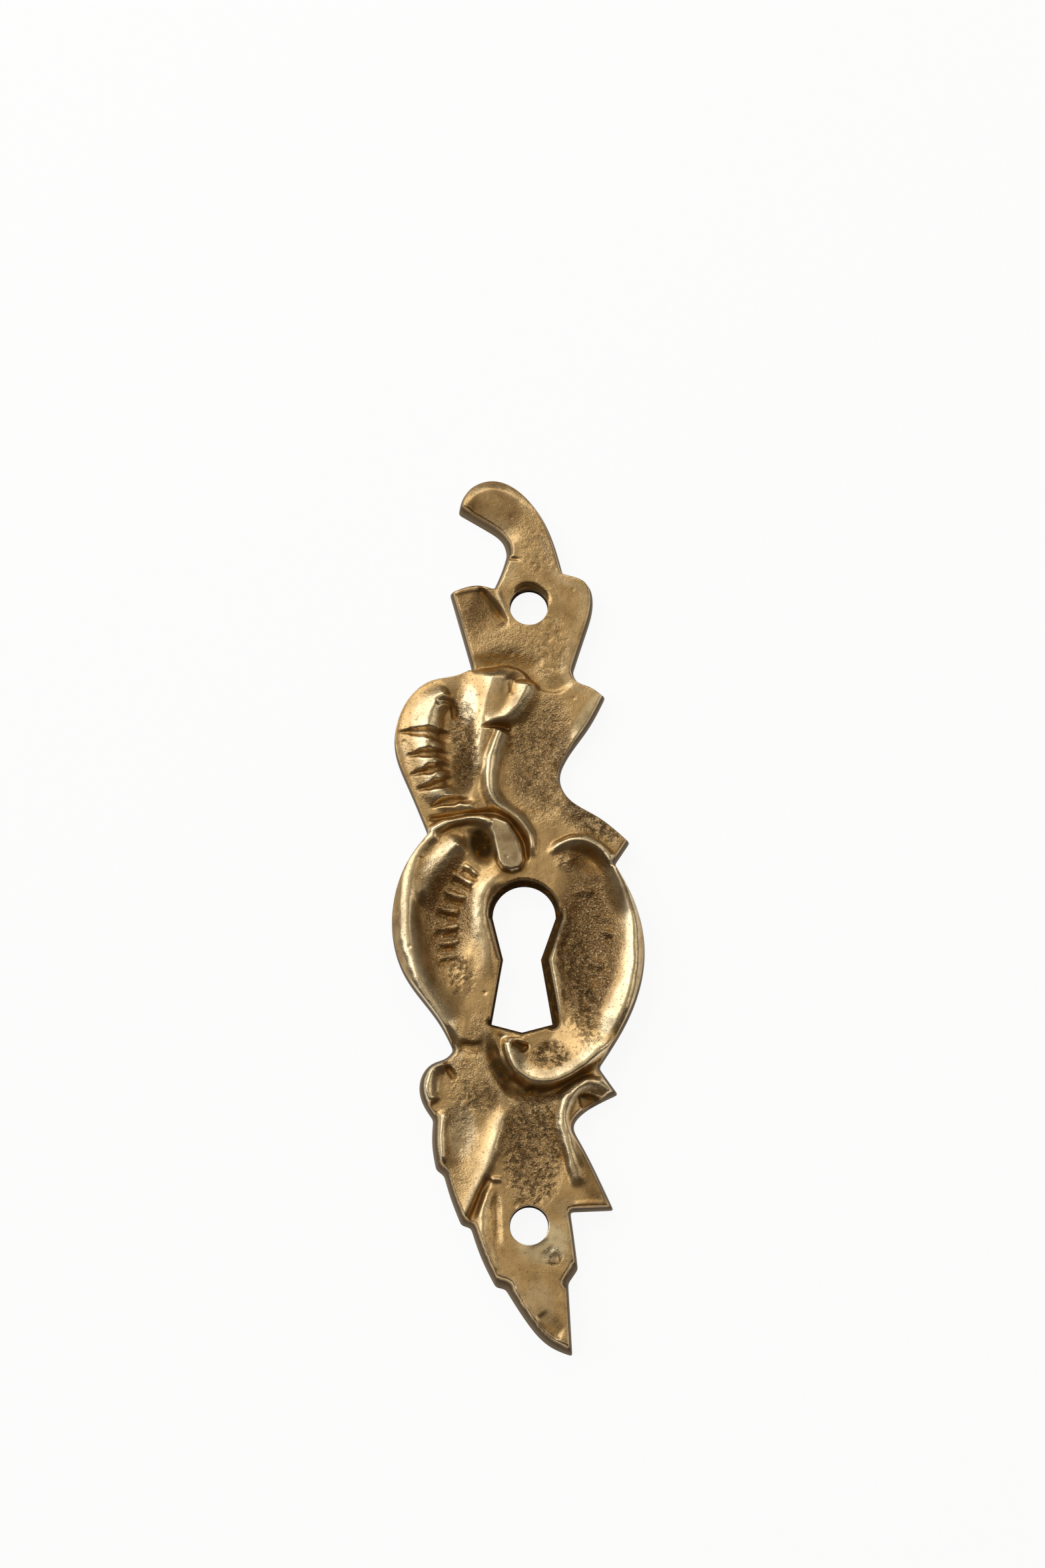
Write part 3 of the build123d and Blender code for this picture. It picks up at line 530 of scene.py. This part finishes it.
spots = np.column_stack([draw.uniform(*span, pinholes["strewn"]) for span in spans])
column = np.clip(np.searchsorted(gridX, spots[:, 0]), 0, len(gridX) - 1)
row = np.clip(np.searchsorted(gridY, spots[:, 1]), 0, len(gridY) - 1)
least, more = pinholes["chance"]
kept = draw.uniform(0.0, 1.0, len(spots)) < least + more * np.maximum(sand, zone["pitted"])[row, column]
spots = np.vstack([pinholes["placed"], spots[kept]])
for px, py, radius in spots:
    part = window((px - radius, py - radius), (px + radius, py + radius))
    u = np.hypot(gx[part] - px, gy[part] - py) / radius
    height[part] -= pinholes["depth"] * radius * np.clip(1.0 - u * u, 0.0, 1.0)

# Skin: slow waves of hand finishing everywhere, sand grain in the hollows, eaten pits where the zones say
skin = {
    "waveSize": 3.2,  # mm
    "waveHeight": 0.025,
    "waveSeed": 3,
    "grain": [(1.1, 0.014, 110), (0.55, 0.03, 55), (0.3, 0.04, 30)],  # size and height in mm, seed
    "pitSizes": (0.7, 0.35),  # mm
    "pitShares": (1.0, 0.5),
    "pitSeed": 21,
    "pitDepth": 0.15,
    "pitStart": 0.3,  # noise above this is eaten, and fully so after the span
    "pitSpan": 0.35,
}
height = height + skin["waveHeight"] * castNoise(skin["waveSize"], skin["waveSeed"])
for size, rise, seed in skin["grain"]:
    height = height + sand * rise * castNoise(size, seed)
pitNoise = noiseSum(skin["pitSizes"], skin["pitShares"], skin["pitSeed"])
eaten = zone["pitted"] * smooth((pitNoise - skin["pitStart"]) / skin["pitSpan"])
height = blur(height - skin["pitDepth"] * eaten, carvingGrid["softness"])
height = height * np.minimum(1.0, carvingGrid["highest"] / height.max())
cavity = smooth((blur(height, ageing["cavityBlur"]) - height) / ageing["cavityDepth"])
ridge = smooth((height - blur(height, ageing["ridgeBlur"]) - ageing["ridgeStart"]) / ageing["ridgeSpan"])
# rubbed ridges, together with the painted highlight of the lit zones
crestWearAndHighlight = np.maximum(ridge, zone["burnishAndHighlight"])
wideHollow = smooth((blur(height, ageing["browningBlur"]) - height) / ageing["browningDepth"])
brown = np.maximum(zone["brown"], ageing["browning"] * wideHollow)
ochre = np.maximum(zone["ochre"], cavity) * (1.0 - ageing["wearAndHighlightOnOchre"] * crestWearAndHighlight)
sand = sand * (1.0 - ageing["wearAndHighlightOnSand"] * crestWearAndHighlight)
print("skin worked out, heights", round(float(height.min()), 2), "to", round(float(height.max()), 2))

# Plan of the plate: each run of the outline is a smooth curve between two corners, with its own draft,
# which is the sideways fall of the wall over one mm of height.
outline = [  # draft and points of each run, which starts where the one before ends
    (0.15, [(-6.9, 49.5), (-3.7, 51.09), (0, 49.4), (2.6, 45.8), (4.5, 40)]),
    (0.14, [(5.9, 39.65), (7.35, 38.85), (7.9, 37.3), (7.1, 33), (5.6, 28.4)]),
    (0.16, [(6.2, 27.4), (7.4, 26.9), (9.35, 25.6)]),
    (0.14, [(7.3, 21.8), (4.6, 17.8), (4.1, 16), (4.9, 14.1), (8.3, 11.8), (12.1, 8.7)]),
    (0.16, [(10.35, 6.1)]),
    (0.07, [(12.3, 2.6), (13.73, -4.2), (12.1, -11.1), (8.5, -17.2)]),
    (0.18, [(10.65, -20.2)]),
    (0.16, [(8, -21.5), (6.2, -22.8), (5.6, -23.8), (6.1, -25.2), (8, -28.8), (10.1, -33.3)]),
    (0.16, [(5.2, -33.5)]),
    (0.14, [(5.6, -36.3), (6.05, -39.9)]),
    (0.34, [(4.95, -41.5)]),
    (0.14, [(5.15, -45), (5.4, -49.6)]),
    (0.3, [(3, -48.6), (0.2, -45.7), (-2.1, -42.15)]),
    (0.4, [(-3.2, -41.9)]),
    (0.26, [(-4.8, -38.7), (-6, -35.3)]),
    (0.3, [(-7.1, -34.95)]),
    (0.26, [(-8.3, -31.9), (-9.05, -29.4)]),
    (0.32, [(-9.95, -28.7)]),
    (0.28, [(-10.4, -25.8), (-10.3, -23.1)]),
    (0.2, [(-11.5, -21.2), (-11.8, -18.7), (-10.3, -16.6), (-8.8, -16), (-8.05, -15.2)]),
    (0.05, [(-9.5, -12.4), (-13.6, -6.7), (-15.09, -0.6), (-13.6, 5.8), (-11, 9.5)]),
    (0.06, [(-13.3, 15), (-14.85, 19.5), (-13.7, 24.6), (-10.6, 27.3), (-7.6, 27.95), (-6, 28.7)]),
    (0.16, [(-7, 32.2), (-8.6, 37.8)]),
    (0.16, [(-6.8, 38.5), (-5, 38.7), (-3.5, 38.3)]),
    (0.2, [(-2.6, 40.4), (-2, 42.3)]),
    (0.28, [(-2.35, 43.6), (-4.2, 45.2), (-7.6, 47.2)]),
]
holes = {
    "screwPlaces": [(0.55, 35.9), (0.55, -35.1)],
    "screwRadius": 2.15,
    "screwDraft": 0.03,
    "screwPoints": 73,  # round each screw hole, the last on the first
    "keyRadius": 3.6,
    "keyPoints": 13,  # over the round part
    "keyDrafts": (0.2, 0.4, 0.36, 0.2, 0.2, 0.1, 0.16),  # round part, right side, foot, left side
    "keyNeck": (-2.4, 1.9, -4.8),  # left, right and level of the neck, mm
    "keyFoot": (-3.7, 3.2, -12.2),
    "keyPoint": (-0.25, -13.1),
}
mesher = {
    "step": 0.165,  # mm between points of the front
    "edgeStep": 0.2,  # mm between points along an edge
    "rings": (0.05, 0.11, 0.18, 0.27, 0.38, 0.5),  # mm inside the outline
    "holeRings": (0.02, 0.045, 0.075, 0.11, 0.17, 0.26, 0.37),
    "edgeRound": 0.28,  # mm of height over which a wall turns into the front
    "clear": 0.085,  # mm between the innermost ring and those points
    "ringSlack": 0.93,  # share of its distance that a ring point keeps
    "wallReach": 2.4,  # mm from an edge in which its wall is worked out
    "onEdge": 1e-4,  # mm
    "merge": 1e-7,  # mm
    "backStep": 1.0,  # mm
    "backClear": 0.4,  # of that step
    "cornerRounds": 3,  # times the outline is averaged to blunt its corners
}
angle = np.linspace(math.pi, 0.0, holes["keyPoints"])
keyArc = list(zip(holes["keyRadius"] * np.cos(angle), holes["keyRadius"] * np.sin(angle)))
neckLeft, neckRight, neckY = holes["keyNeck"]
footLeft, footRight, footY = holes["keyFoot"]
keyCorners = [keyArc[-1], (neckRight, neckY), (footRight, footY), holes["keyPoint"], (footLeft, footY),
              (neckLeft, neckY), keyArc[0]]
keyRuns = [keyArc] + [list(pair) for pair in zip(keyCorners[:-1], keyCorners[1:])]


# Loop of even points from runs, and the drafted runs as polylines. Each round of averaging a point with its
# two neighbours takes a little more off the corners, as casting does.
def makeLoop(runs, drafts, rounds=0):
    lines = [evenCurve(run, mesher["edgeStep"]) for run in runs]
    loop = np.vstack([line[:-1] for line in lines])
    for _ in range(rounds):
        loop = 0.5 * loop + 0.25 * (np.roll(loop, 1, axis=0) + np.roll(loop, -1, axis=0))
    starts = np.cumsum([0] + [len(line) - 1 for line in lines])
    return loop, [(draft, closed(loop)[a:b + 1]) for draft, a, b in zip(drafts, starts[:-1], starts[1:])]


turns = np.linspace(0.0, 2.0 * math.pi, holes["screwPoints"])
circle = holes["screwRadius"] * np.column_stack([np.cos(turns), np.sin(turns)])
screwRuns = [circle + centre for centre in holes["screwPlaces"]]
drafts, runs = zip(*outline)
runs = [before[-1:] + run for before, run in zip(runs[-1:] + runs[:-1], runs)]
outerLoop, outerWalls = makeLoop(runs, drafts, mesher["cornerRounds"])
keyLoop, keyWalls = makeLoop(keyRuns, holes["keyDrafts"])
screwLoops = [makeLoop([run], [holes["screwDraft"]]) for run in screwRuns]
loops = [outerLoop, keyLoop] + [loop for loop, _ in screwLoops]
walls = outerWalls + keyWalls + [wall for _, wallList in screwLoops for wall in wallList]


# Inside the outline and outside every hole
def inMetal(px, py):
    keep = insideLoop(outerLoop, px, py)
    for loop in loops[1:]:
        keep &= ~insideLoop(loop, px, py)
    return keep


# Height of the wall above a place and its distance from the nearest edge: each run gives distance / draft
def wallHeight(px, py):
    lowest = np.full(px.shape, np.inf)
    edge = np.full(px.shape, np.inf)
    reach = mesher["wallReach"]
    for draft, line in walls:
        low = line.min(axis=0) - reach
        high = line.max(axis=0) + reach
        close = (px > low[0]) & (px < high[0]) & (py > low[1]) & (py < high[1])
        near = nearPath(line, px[close], py[close])[0]
        lowest[close] = np.minimum(lowest[close], near / draft)
        edge[close] = np.minimum(edge[close], near)
    return lowest, edge


# Points a ring inside a loop: every loop point moves along its normal, and those that come nearer
# to an edge than the ring's distance, as they do round a sharp tip, are dropped.
def ringPoints(loop, distance, sign):
    tangent = np.roll(loop, -1, axis=0) - np.roll(loop, 1, axis=0)
    normal = np.column_stack([tangent[:, 1], -tangent[:, 0]]) / np.hypot(*tangent.T)[:, None]
    moved = loop + sign * distance * normal
    edge = wallHeight(*moved.T)[1]
    return moved[(edge > mesher["ringSlack"] * distance) & inMetal(*moved.T)]


# Value of a grid at places
def sample(grid, px, py):
    u = np.clip((px - gridX[0]) / carvingGrid["step"], 0, len(gridX) - 1.001)
    v = np.clip((py - gridY[0]) / carvingGrid["step"], 0, len(gridY) - 1.001)
    i = u.astype(int)
    j = v.astype(int)
    return blend(grid, i, j, u - i, v - j)


# Staggered rows of points over the metal, a triangular lattice that keeps clear of every edge
def staggered(step, clear):
    xs = np.arange(gridX[0], gridX[-1], step)
    ys = np.arange(gridY[0], gridY[-1], step * math.sqrt(0.75))
    px, py = np.meshgrid(xs, ys)
    px = px + 0.5 * step * (np.arange(len(ys)) % 2)[:, None]
    points = np.column_stack([px.ravel(), py.ravel()])
    points = points[inMetal(*points.T)]
    return points[wallHeight(*points.T)[1] > clear]


# Triangles between the outline and the holes: constrained Delaunay on the loops and the inner points,
# without the triangles whose middle isn't in metal
def triangulate(innerPoints):
    points = np.vstack(loops + [innerPoints])
    starts = np.cumsum([0] + [len(loop) for loop in loops])
    edges = []
    for first, last in zip(starts[:-1], starts[1:]):
        ids = np.arange(first, last)
        edges += np.column_stack([ids, np.roll(ids, -1)]).tolist()
    result = delaunay_2d_cdt(points.tolist(), edges, [], 1, mesher["merge"], False)
    flat = np.array([(v[0], v[1]) for v in result[0]])
    triangles = np.array(result[2])
    middle = flat[triangles].mean(axis=1)
    return flat, triangles[inMetal(*middle.T)]


rings = [ringPoints(outerLoop, d, 1.0) for d in mesher["rings"]]
for loop in loops[1:]:
    rings += [ringPoints(loop, d, sign) for sign in (-1.0, 1.0) for d in mesher["holeRings"]]
rings = np.vstack(rings)
print("rings", len(rings))

lattice = staggered(mesher["step"], mesher["rings"][-1] + mesher["clear"])
frontPlan, frontFaces = triangulate(np.vstack([rings, lattice]))
print("front", len(frontPlan), "points", len(frontFaces), "triangles")


# Smooth minimum: where two heights differ by less than the width, the lower is rounded off by a parabola
def softMin(a, b, width):
    h = np.clip(width - np.abs(a - b), 0.0, None) / width
    return np.minimum(a, b) - 0.25 * width * h * h


fx, fy = frontPlan.T
wallZ, edgeDistance = wallHeight(fx, fy)
frontZ = softMin(sample(height, fx, fy), wallZ, mesher["edgeRound"])
frontZ = np.where(edgeDistance < mesher["onEdge"], 0.0, np.maximum(frontZ, 0.0))
backPlan, backFaces = triangulate(staggered(mesher["backStep"], mesher["backClear"] * mesher["backStep"]))

# Front and back share the points of their loops, so the casting closes into one skin.
loopCount = sum(len(loop) for loop in loops)
backIds = np.arange(len(backPlan)) + len(frontPlan) - loopCount
backIds[:loopCount] = np.arange(loopCount)
places = np.vstack([
    np.column_stack([frontPlan, frontZ]),
    np.column_stack([backPlan[loopCount:], np.zeros(len(backPlan) - loopCount)]),
])
faces = np.vstack([frontFaces, backIds[backFaces][:, ::-1]])
mesh = bpy.data.meshes.new("escutcheonCasting")
mesh.from_pydata((places * mm).tolist(), [], faces.tolist())
mesh.shade_smooth()
plate = addObject("escutcheonCasting", mesh)
print("casting", len(places), "points", len(faces), "triangles")

# Finish of each point, painted shade and highlight among them, read by the material
wearing = {
    "wallStart": 0.25,  # mm below the carving where the wall's look begins, and the span until it is full
    "wallSpan": 0.5,
    "footTop": 1.2,  # spans up the wall to where its pale foot ends
    "footSpan": 1.6,  # mm
    "boreReach": 1.4,  # mm round a hole where walls are painted dark as shade and edges aren't rubbed
    "boreShade": 0.95,
    "edgeDepth": 0.1,  # mm below the carving where an outer edge is rubbed most
    "edgeSpread": 0.16,
    "edgeReach": 1.6,  # mm from the outline
    "edgePatch": 2.6,  # mm, noise that breaks the rubbed edge up
    "edgeShare": 0.45,
    "edgeSeed": 61,
    "back": {"wall": 0.6, "sand": 0.8},  # the back is dull and sandy
}
below = sample(height, fx, fy) - frontZ
onWall = smooth((below - wearing["wallStart"]) / wearing["wallSpan"])
boreDistance = np.min([nearPath(closed(loop), fx, fy)[0] for loop in loops[1:]], axis=0)
# walls round the holes, which get painted shade
inBore = onWall * (boreDistance < wearing["boreReach"])
edgeWear = smooth(1.0 - np.abs(below - wearing["edgeDepth"]) / wearing["edgeSpread"])
edgeWear = edgeWear * (edgeDistance < wearing["edgeReach"]) * (boreDistance > wearing["boreReach"])
edgeNoise = sample(castNoise(wearing["edgePatch"], wearing["edgeSeed"]), fx, fy)
edgeWear = edgeWear * smooth(wearing["edgeShare"] + edgeNoise)
finishes = {
    "sand": sample(sand, fx, fy),
    "pitted": sample(zone["pitted"], fx, fy),
    "brown": sample(brown, fx, fy),
    "ochre": sample(ochre, fx, fy),
    # the painted shade of the bore walls joins the dark patches of dirt and painted shade
    "dark": np.maximum(sample(zone["dark"], fx, fy), wearing["boreShade"] * inBore),
    # rubbed crests and edges, with the painted highlight of the lit zones
    "wearAndHighlight": np.maximum(sample(crestWearAndHighlight, fx, fy), edgeWear),
    "wall": onWall,
    "foot": onWall * smooth(wearing["footTop"] - frontZ / wearing["footSpan"]),
}
for name, values in finishes.items():
    padded = np.full(len(places), wearing["back"].get(name, 0.0))
    padded[: len(values)] = np.clip(values, 0.0, 1.0)
    layer = mesh.attributes.new(name, "FLOAT", "POINT")
    layer.data.foreach_set("value", padded.astype(np.float32))


# sRGB hex to linear colour
def hexColour(text):
    srgb = np.array([int(text[i:i + 2], 16) for i in (1, 3, 5)]) / 255.0
    linear = np.where(srgb <= 0.04045, srgb / 12.92, ((srgb + 0.055) / 1.055) ** 2.4)
    return (*linear.tolist(), 1.0)


# Empty node tree of a material or a world
def emptyTree(owner):
    owner.use_nodes = True
    owner.node_tree.nodes.clear()
    return owner.node_tree


# Adds a shader node, sets its properties and sockets, links sockets that are given as another node's output,
# and returns one of its own outputs
def addNode(tree, kind, settings=None, output=0, **inputs):
    node = tree.nodes.new("ShaderNode" + kind)
    for key, value in (settings or {}).items():
        setattr(node, key, value)
    for key, value in inputs.items():
        socket = node.inputs[int(key[2:])] if key.startswith("at") else node.inputs[key.replace("_", " ")]
        if isinstance(value, bpy.types.NodeSocket):
            tree.links.new(value, socket)
        else:
            socket.default_value = value
    return node.outputs[output] if node.outputs else node


def perMm(size):
    return 1.0 / (size * mm)  # texture scale for a pattern that repeats every size mm


# Cast brass, hand finished and aged: ridges are rubbed to a pale gold, which is also painted as highlight on
# lit slopes, the ground keeps a duller brass, hollows show a sandy skin with brown oxide and ochre lacquer
# residue, and the drafted walls are dull brown. Dirt in pits, painted shade in bores and recesses, and the
# walls are matte and no metal. The shader's gloss for what isn't metal is off, or these would mirror the
# white paper. Sand grains of 0.1 mm would be lost between pixels, so they are 0.2 mm.
agedBrass = {
    # pale gold of rubbed brass, also the colour of the painted highlight
    "burnished": "#e7d3a9",
    "ground": "#ceac76",
    "brown": "#65492a",
    "ochre": "#8d6b35",
    "amber": "#a86c1c",
    # colour of the painted shade and of dirt in pits
    "dark": "#3a2811",
    "pit": "#2c1d0d",
    "wall": "#5f4b2e",
    "foot": "#8d7b60",
    "groundRoughness": 0.33,
    "roughness": [("wearAndHighlight", 0.26), ("sand", 0.42), ("ochre", 0.48), ("dark", 0.5), ("wall", 0.5)],
    "patterns": {  # size in mm, octaves, how strong the finer octaves are
        "mottle": (2.4, 4.0, 0.6),
        "cloud": (0.8, 3.0, 0.6),
        "grain": (0.2, 2.0, 0.6),
        "speck": (0.24, 1.0, 0.5),
        "pits": (0.62, 4.0, 0.7),
    },
    "scratchLength": 4.0,  # mm
    "scratchWidth": 0.12,
    "scratchTurn": 0.12,  # radians off the length of the plate
    "masks": {  # pattern, and the values where the mask starts and is full
        "stain": ("mottle", 0.35, 0.7),
        "streak": ("cloud", 0.5, 0.64),
        "tips": ("grain", 0.55, 0.68),
        "troughs": ("grain", 0.46, 0.32),
        "pinpricks": ("speck", 0.64, 0.72),
        "eaten": ("pits", 0.47, 0.7),
    },
    "layers": [  # mask, finish, strength and colour, laid one over the other
        # pale gold on rubbed crests and edges, and painted highlight on the lit zones
        (None, "wearAndHighlight", 1.0, "burnished"),
        ("stain", None, 0.36, "brown"),
        ("streak", None, 0.16, "brown"),
        (None, "brown", 0.6, "brown"),
        ("stain", "brown", 0.5, "brown"),
        (None, "sand", 0.45, "brown"),
        ("tips", "sand", 0.6, "burnished"),
        (None, "ochre", 0.6, "ochre"),
        ("streak", "ochre", 0.6, "amber"),
        ("troughs", "sand", 0.5, "pit"),
        ("pinpricks", None, 0.3, "pit"),
        (None, "wall", 1.0, "wall"),
        (None, "foot", 0.7, "foot"),
        # dark paint: dirt in pits, and painted shade in recesses, bores and on slopes turned from the lamps
        (None, "dark", 1.0, "dark"),
        ("streak", "dark", 0.25, "amber"),
        ("eaten", "pitted", 0.85, "pit"),
    ],
    "nonMetalShare": {"dark": 1.0, "pit": 0.8, "wall": 0.7, "foot": 0.5},  # share of a paint that is no metal
    "reliefs": [  # pattern or mask, finish and height in mm
        ("grain", None, 0.007),
        ("cloud", None, 0.004),
        ("grain", "sand", 0.12),
        ("cloud", "sand", 0.12),
        ("scratches", None, 0.006),
        ("pinpricks", None, -0.012),
        ("eaten", "pitted", -0.16),
    ],
}
brass = bpy.data.materials.new("agedCastBrass")
tree = emptyTree(brass)
coords = addNode(tree, "TexCoord", None, "Object")
finish = {name: addNode(tree, "Attribute", {"attribute_name": name}, "Fac") for name in finishes}
pattern = {
    name: addNode(tree, "TexNoise", Vector=coords, Scale=perMm(size), Detail=octaves, Roughness=finer)
    for name, (size, octaves, finer) in agedBrass["patterns"].items()
}
drawnOut = agedBrass["scratchWidth"] / agedBrass["scratchLength"]
alongStroke = addNode(tree, "Mapping", Vector=coords, Scale=(1.0, drawnOut, 1.0),
                      Rotation=(0.0, 0.0, agedBrass["scratchTurn"]))
pattern["scratches"] = addNode(tree, "TexNoise", Vector=alongStroke, Scale=perMm(agedBrass["scratchWidth"]))
for name, (source, start, full) in agedBrass["masks"].items():
    pattern[name] = addNode(tree, "MapRange", {"interpolation_type": "SMOOTHSTEP"},
                            Value=pattern[source], From_Min=start, From_Max=full)

colour = hexColour(agedBrass["ground"])
metal = 1.0
for maskName, finishName, strength, paint in agedBrass["layers"]:
    amount = strength
    for socket in (pattern.get(maskName), finish.get(finishName)):
        if socket is not None:
            amount = addNode(tree, "Math", {"operation": "MULTIPLY", "use_clamp": True}, at0=amount,
                             at1=socket)
    colour = addNode(tree, "Mix", {"data_type": "RGBA"}, 2, at0=amount, at6=colour,
                     at7=hexColour(agedBrass[paint]))
    if paint in agedBrass["nonMetalShare"]:
        metal = addNode(tree, "Mix", at0=amount, at2=metal, at3=1.0 - agedBrass["nonMetalShare"][paint])
roughness = agedBrass["groundRoughness"]
for finishName, value in agedBrass["roughness"]:
    roughness = addNode(tree, "Mix", at0=finish[finishName], at2=roughness, at3=value)
relief = 0.0
for patternName, finishName, rise in agedBrass["reliefs"]:
    if finishName:
        rise = addNode(tree, "Math", {"operation": "MULTIPLY"}, at0=rise, at1=finish[finishName])
    relief = addNode(tree, "Math", {"operation": "MULTIPLY_ADD"}, at0=pattern[patternName],
                     at1=rise, at2=relief)
bump = addNode(tree, "Bump", Strength=1.0, Distance=mm, Height=relief)
surface = addNode(tree, "BsdfPrincipled", Base_Color=colour, Metallic=metal, Roughness=roughness,
                  Normal=bump, Specular_IOR_Level=0.0)
addNode(tree, "OutputMaterial", Surface=surface)
mesh.materials.append(brass)
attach(plate, "root")
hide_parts("escutcheon_plate")
print("brass finished")

# Floor: white paper, lit white where the camera or a reflection sees it, with the part's own soft shadow
paper = {
    "colour": "#fbfbfa",
    "size": 3.0,  # m
    "gap": 0.00003,  # m under the casting, so that the two don't share a plane
    "glow": 0.92,
}
floorMesh = bpy.data.meshes.new("paperFloor")
half = 0.5 * paper["size"]
corners = [(x * half, y * half, -paper["gap"]) for x, y in ((-1, -1), (1, -1), (1, 1), (-1, 1))]
floorMesh.from_pydata(corners, [], [(0, 1, 2, 3)])
floor = addObject("paperFloor", floorMesh)
paperMaterial = bpy.data.materials.new("matteWhitePaper")
paperTree = emptyTree(paperMaterial)
rays = addNode(paperTree, "LightPath").node.outputs
seen = rays["Is Camera Ray"]
for kindOfRay in ("Is Glossy Ray", "Is Transmission Ray"):
    seen = addNode(paperTree, "Math", {"operation": "MAXIMUM"}, at0=seen, at1=rays[kindOfRay])
seen = addNode(paperTree, "Math", {"operation": "MULTIPLY"}, at0=seen, at1=paper["glow"])
sheet = addNode(paperTree, "BsdfDiffuse", Color=hexColour(paper["colour"]))
glow = addNode(paperTree, "Emission", Color=hexColour("#ffffff"))
blended = addNode(paperTree, "MixShader", at0=seen, at1=sheet, at2=glow)
addNode(paperTree, "OutputMaterial", Surface=blended)
floorMesh.materials.append(paperMaterial)

# Studio: a dim room, a cloth overhead, and softboxes at the upper left, past the hook and on the right
studio = {
    "room": "#58504a",
    "lamps": [  # name, place in m, width and height in m, radiance, colour
        ("overhead", (0.0, 0.05, 0.75), (0.5, 0.68), 0.53, "#fff6e2"),
        ("keyLeft", (-0.43, 0.24, 0.44), (0.74, 0.6), 2.45, "#f6f9ff"),
        ("top", (0.05, 0.5, 0.42), (0.5, 0.3), 2.0, "#fffaf0"),
        ("fillRight", (0.5, 0.05, 0.42), (0.3, 0.45), 1.2, "#fffaf0"),
    ],
    "aim": (0.0, 0.0, 0.0),
}
world = bpy.data.worlds.new("studioRoom")
bpy.context.scene.world = world
worldTree = emptyTree(world)
room = addNode(worldTree, "Background", Color=hexColour(studio["room"]))
addNode(worldTree, "OutputWorld", Surface=room)
for name, place, size, radiance, tint in studio["lamps"]:
    lamp = bpy.data.lights.new(name, "AREA")
    lamp.shape = "RECTANGLE"
    lamp.size, lamp.size_y = size
    lamp.energy = radiance * math.pi * size[0] * size[1]
    lamp.color = hexColour(tint)[:3]
    aim(addObject(name, lamp), place, studio["aim"])

# Camera: above the plate and a little towards its foot, as the photograph looks at it
view = {
    "place": (-0.00019, -0.07127, 0.4924),  # m
    "target": (-0.00019, 0.01556, 0.0),
    "lens": 100.1,  # mm
    "sensor": 36.0,  # mm
    "nearest": 0.01,  # m
}
camera = bpy.data.cameras.new("camera")
camera.lens = view["lens"]
camera.sensor_width = view["sensor"]
camera.clip_start = view["nearest"]
cameraObject = addObject("camera", camera)
aim(cameraObject, view["place"], view["target"])
bpy.context.scene.camera = cameraObject
bpy.context.scene.view_settings.view_transform = "Standard"
print("studio ready")
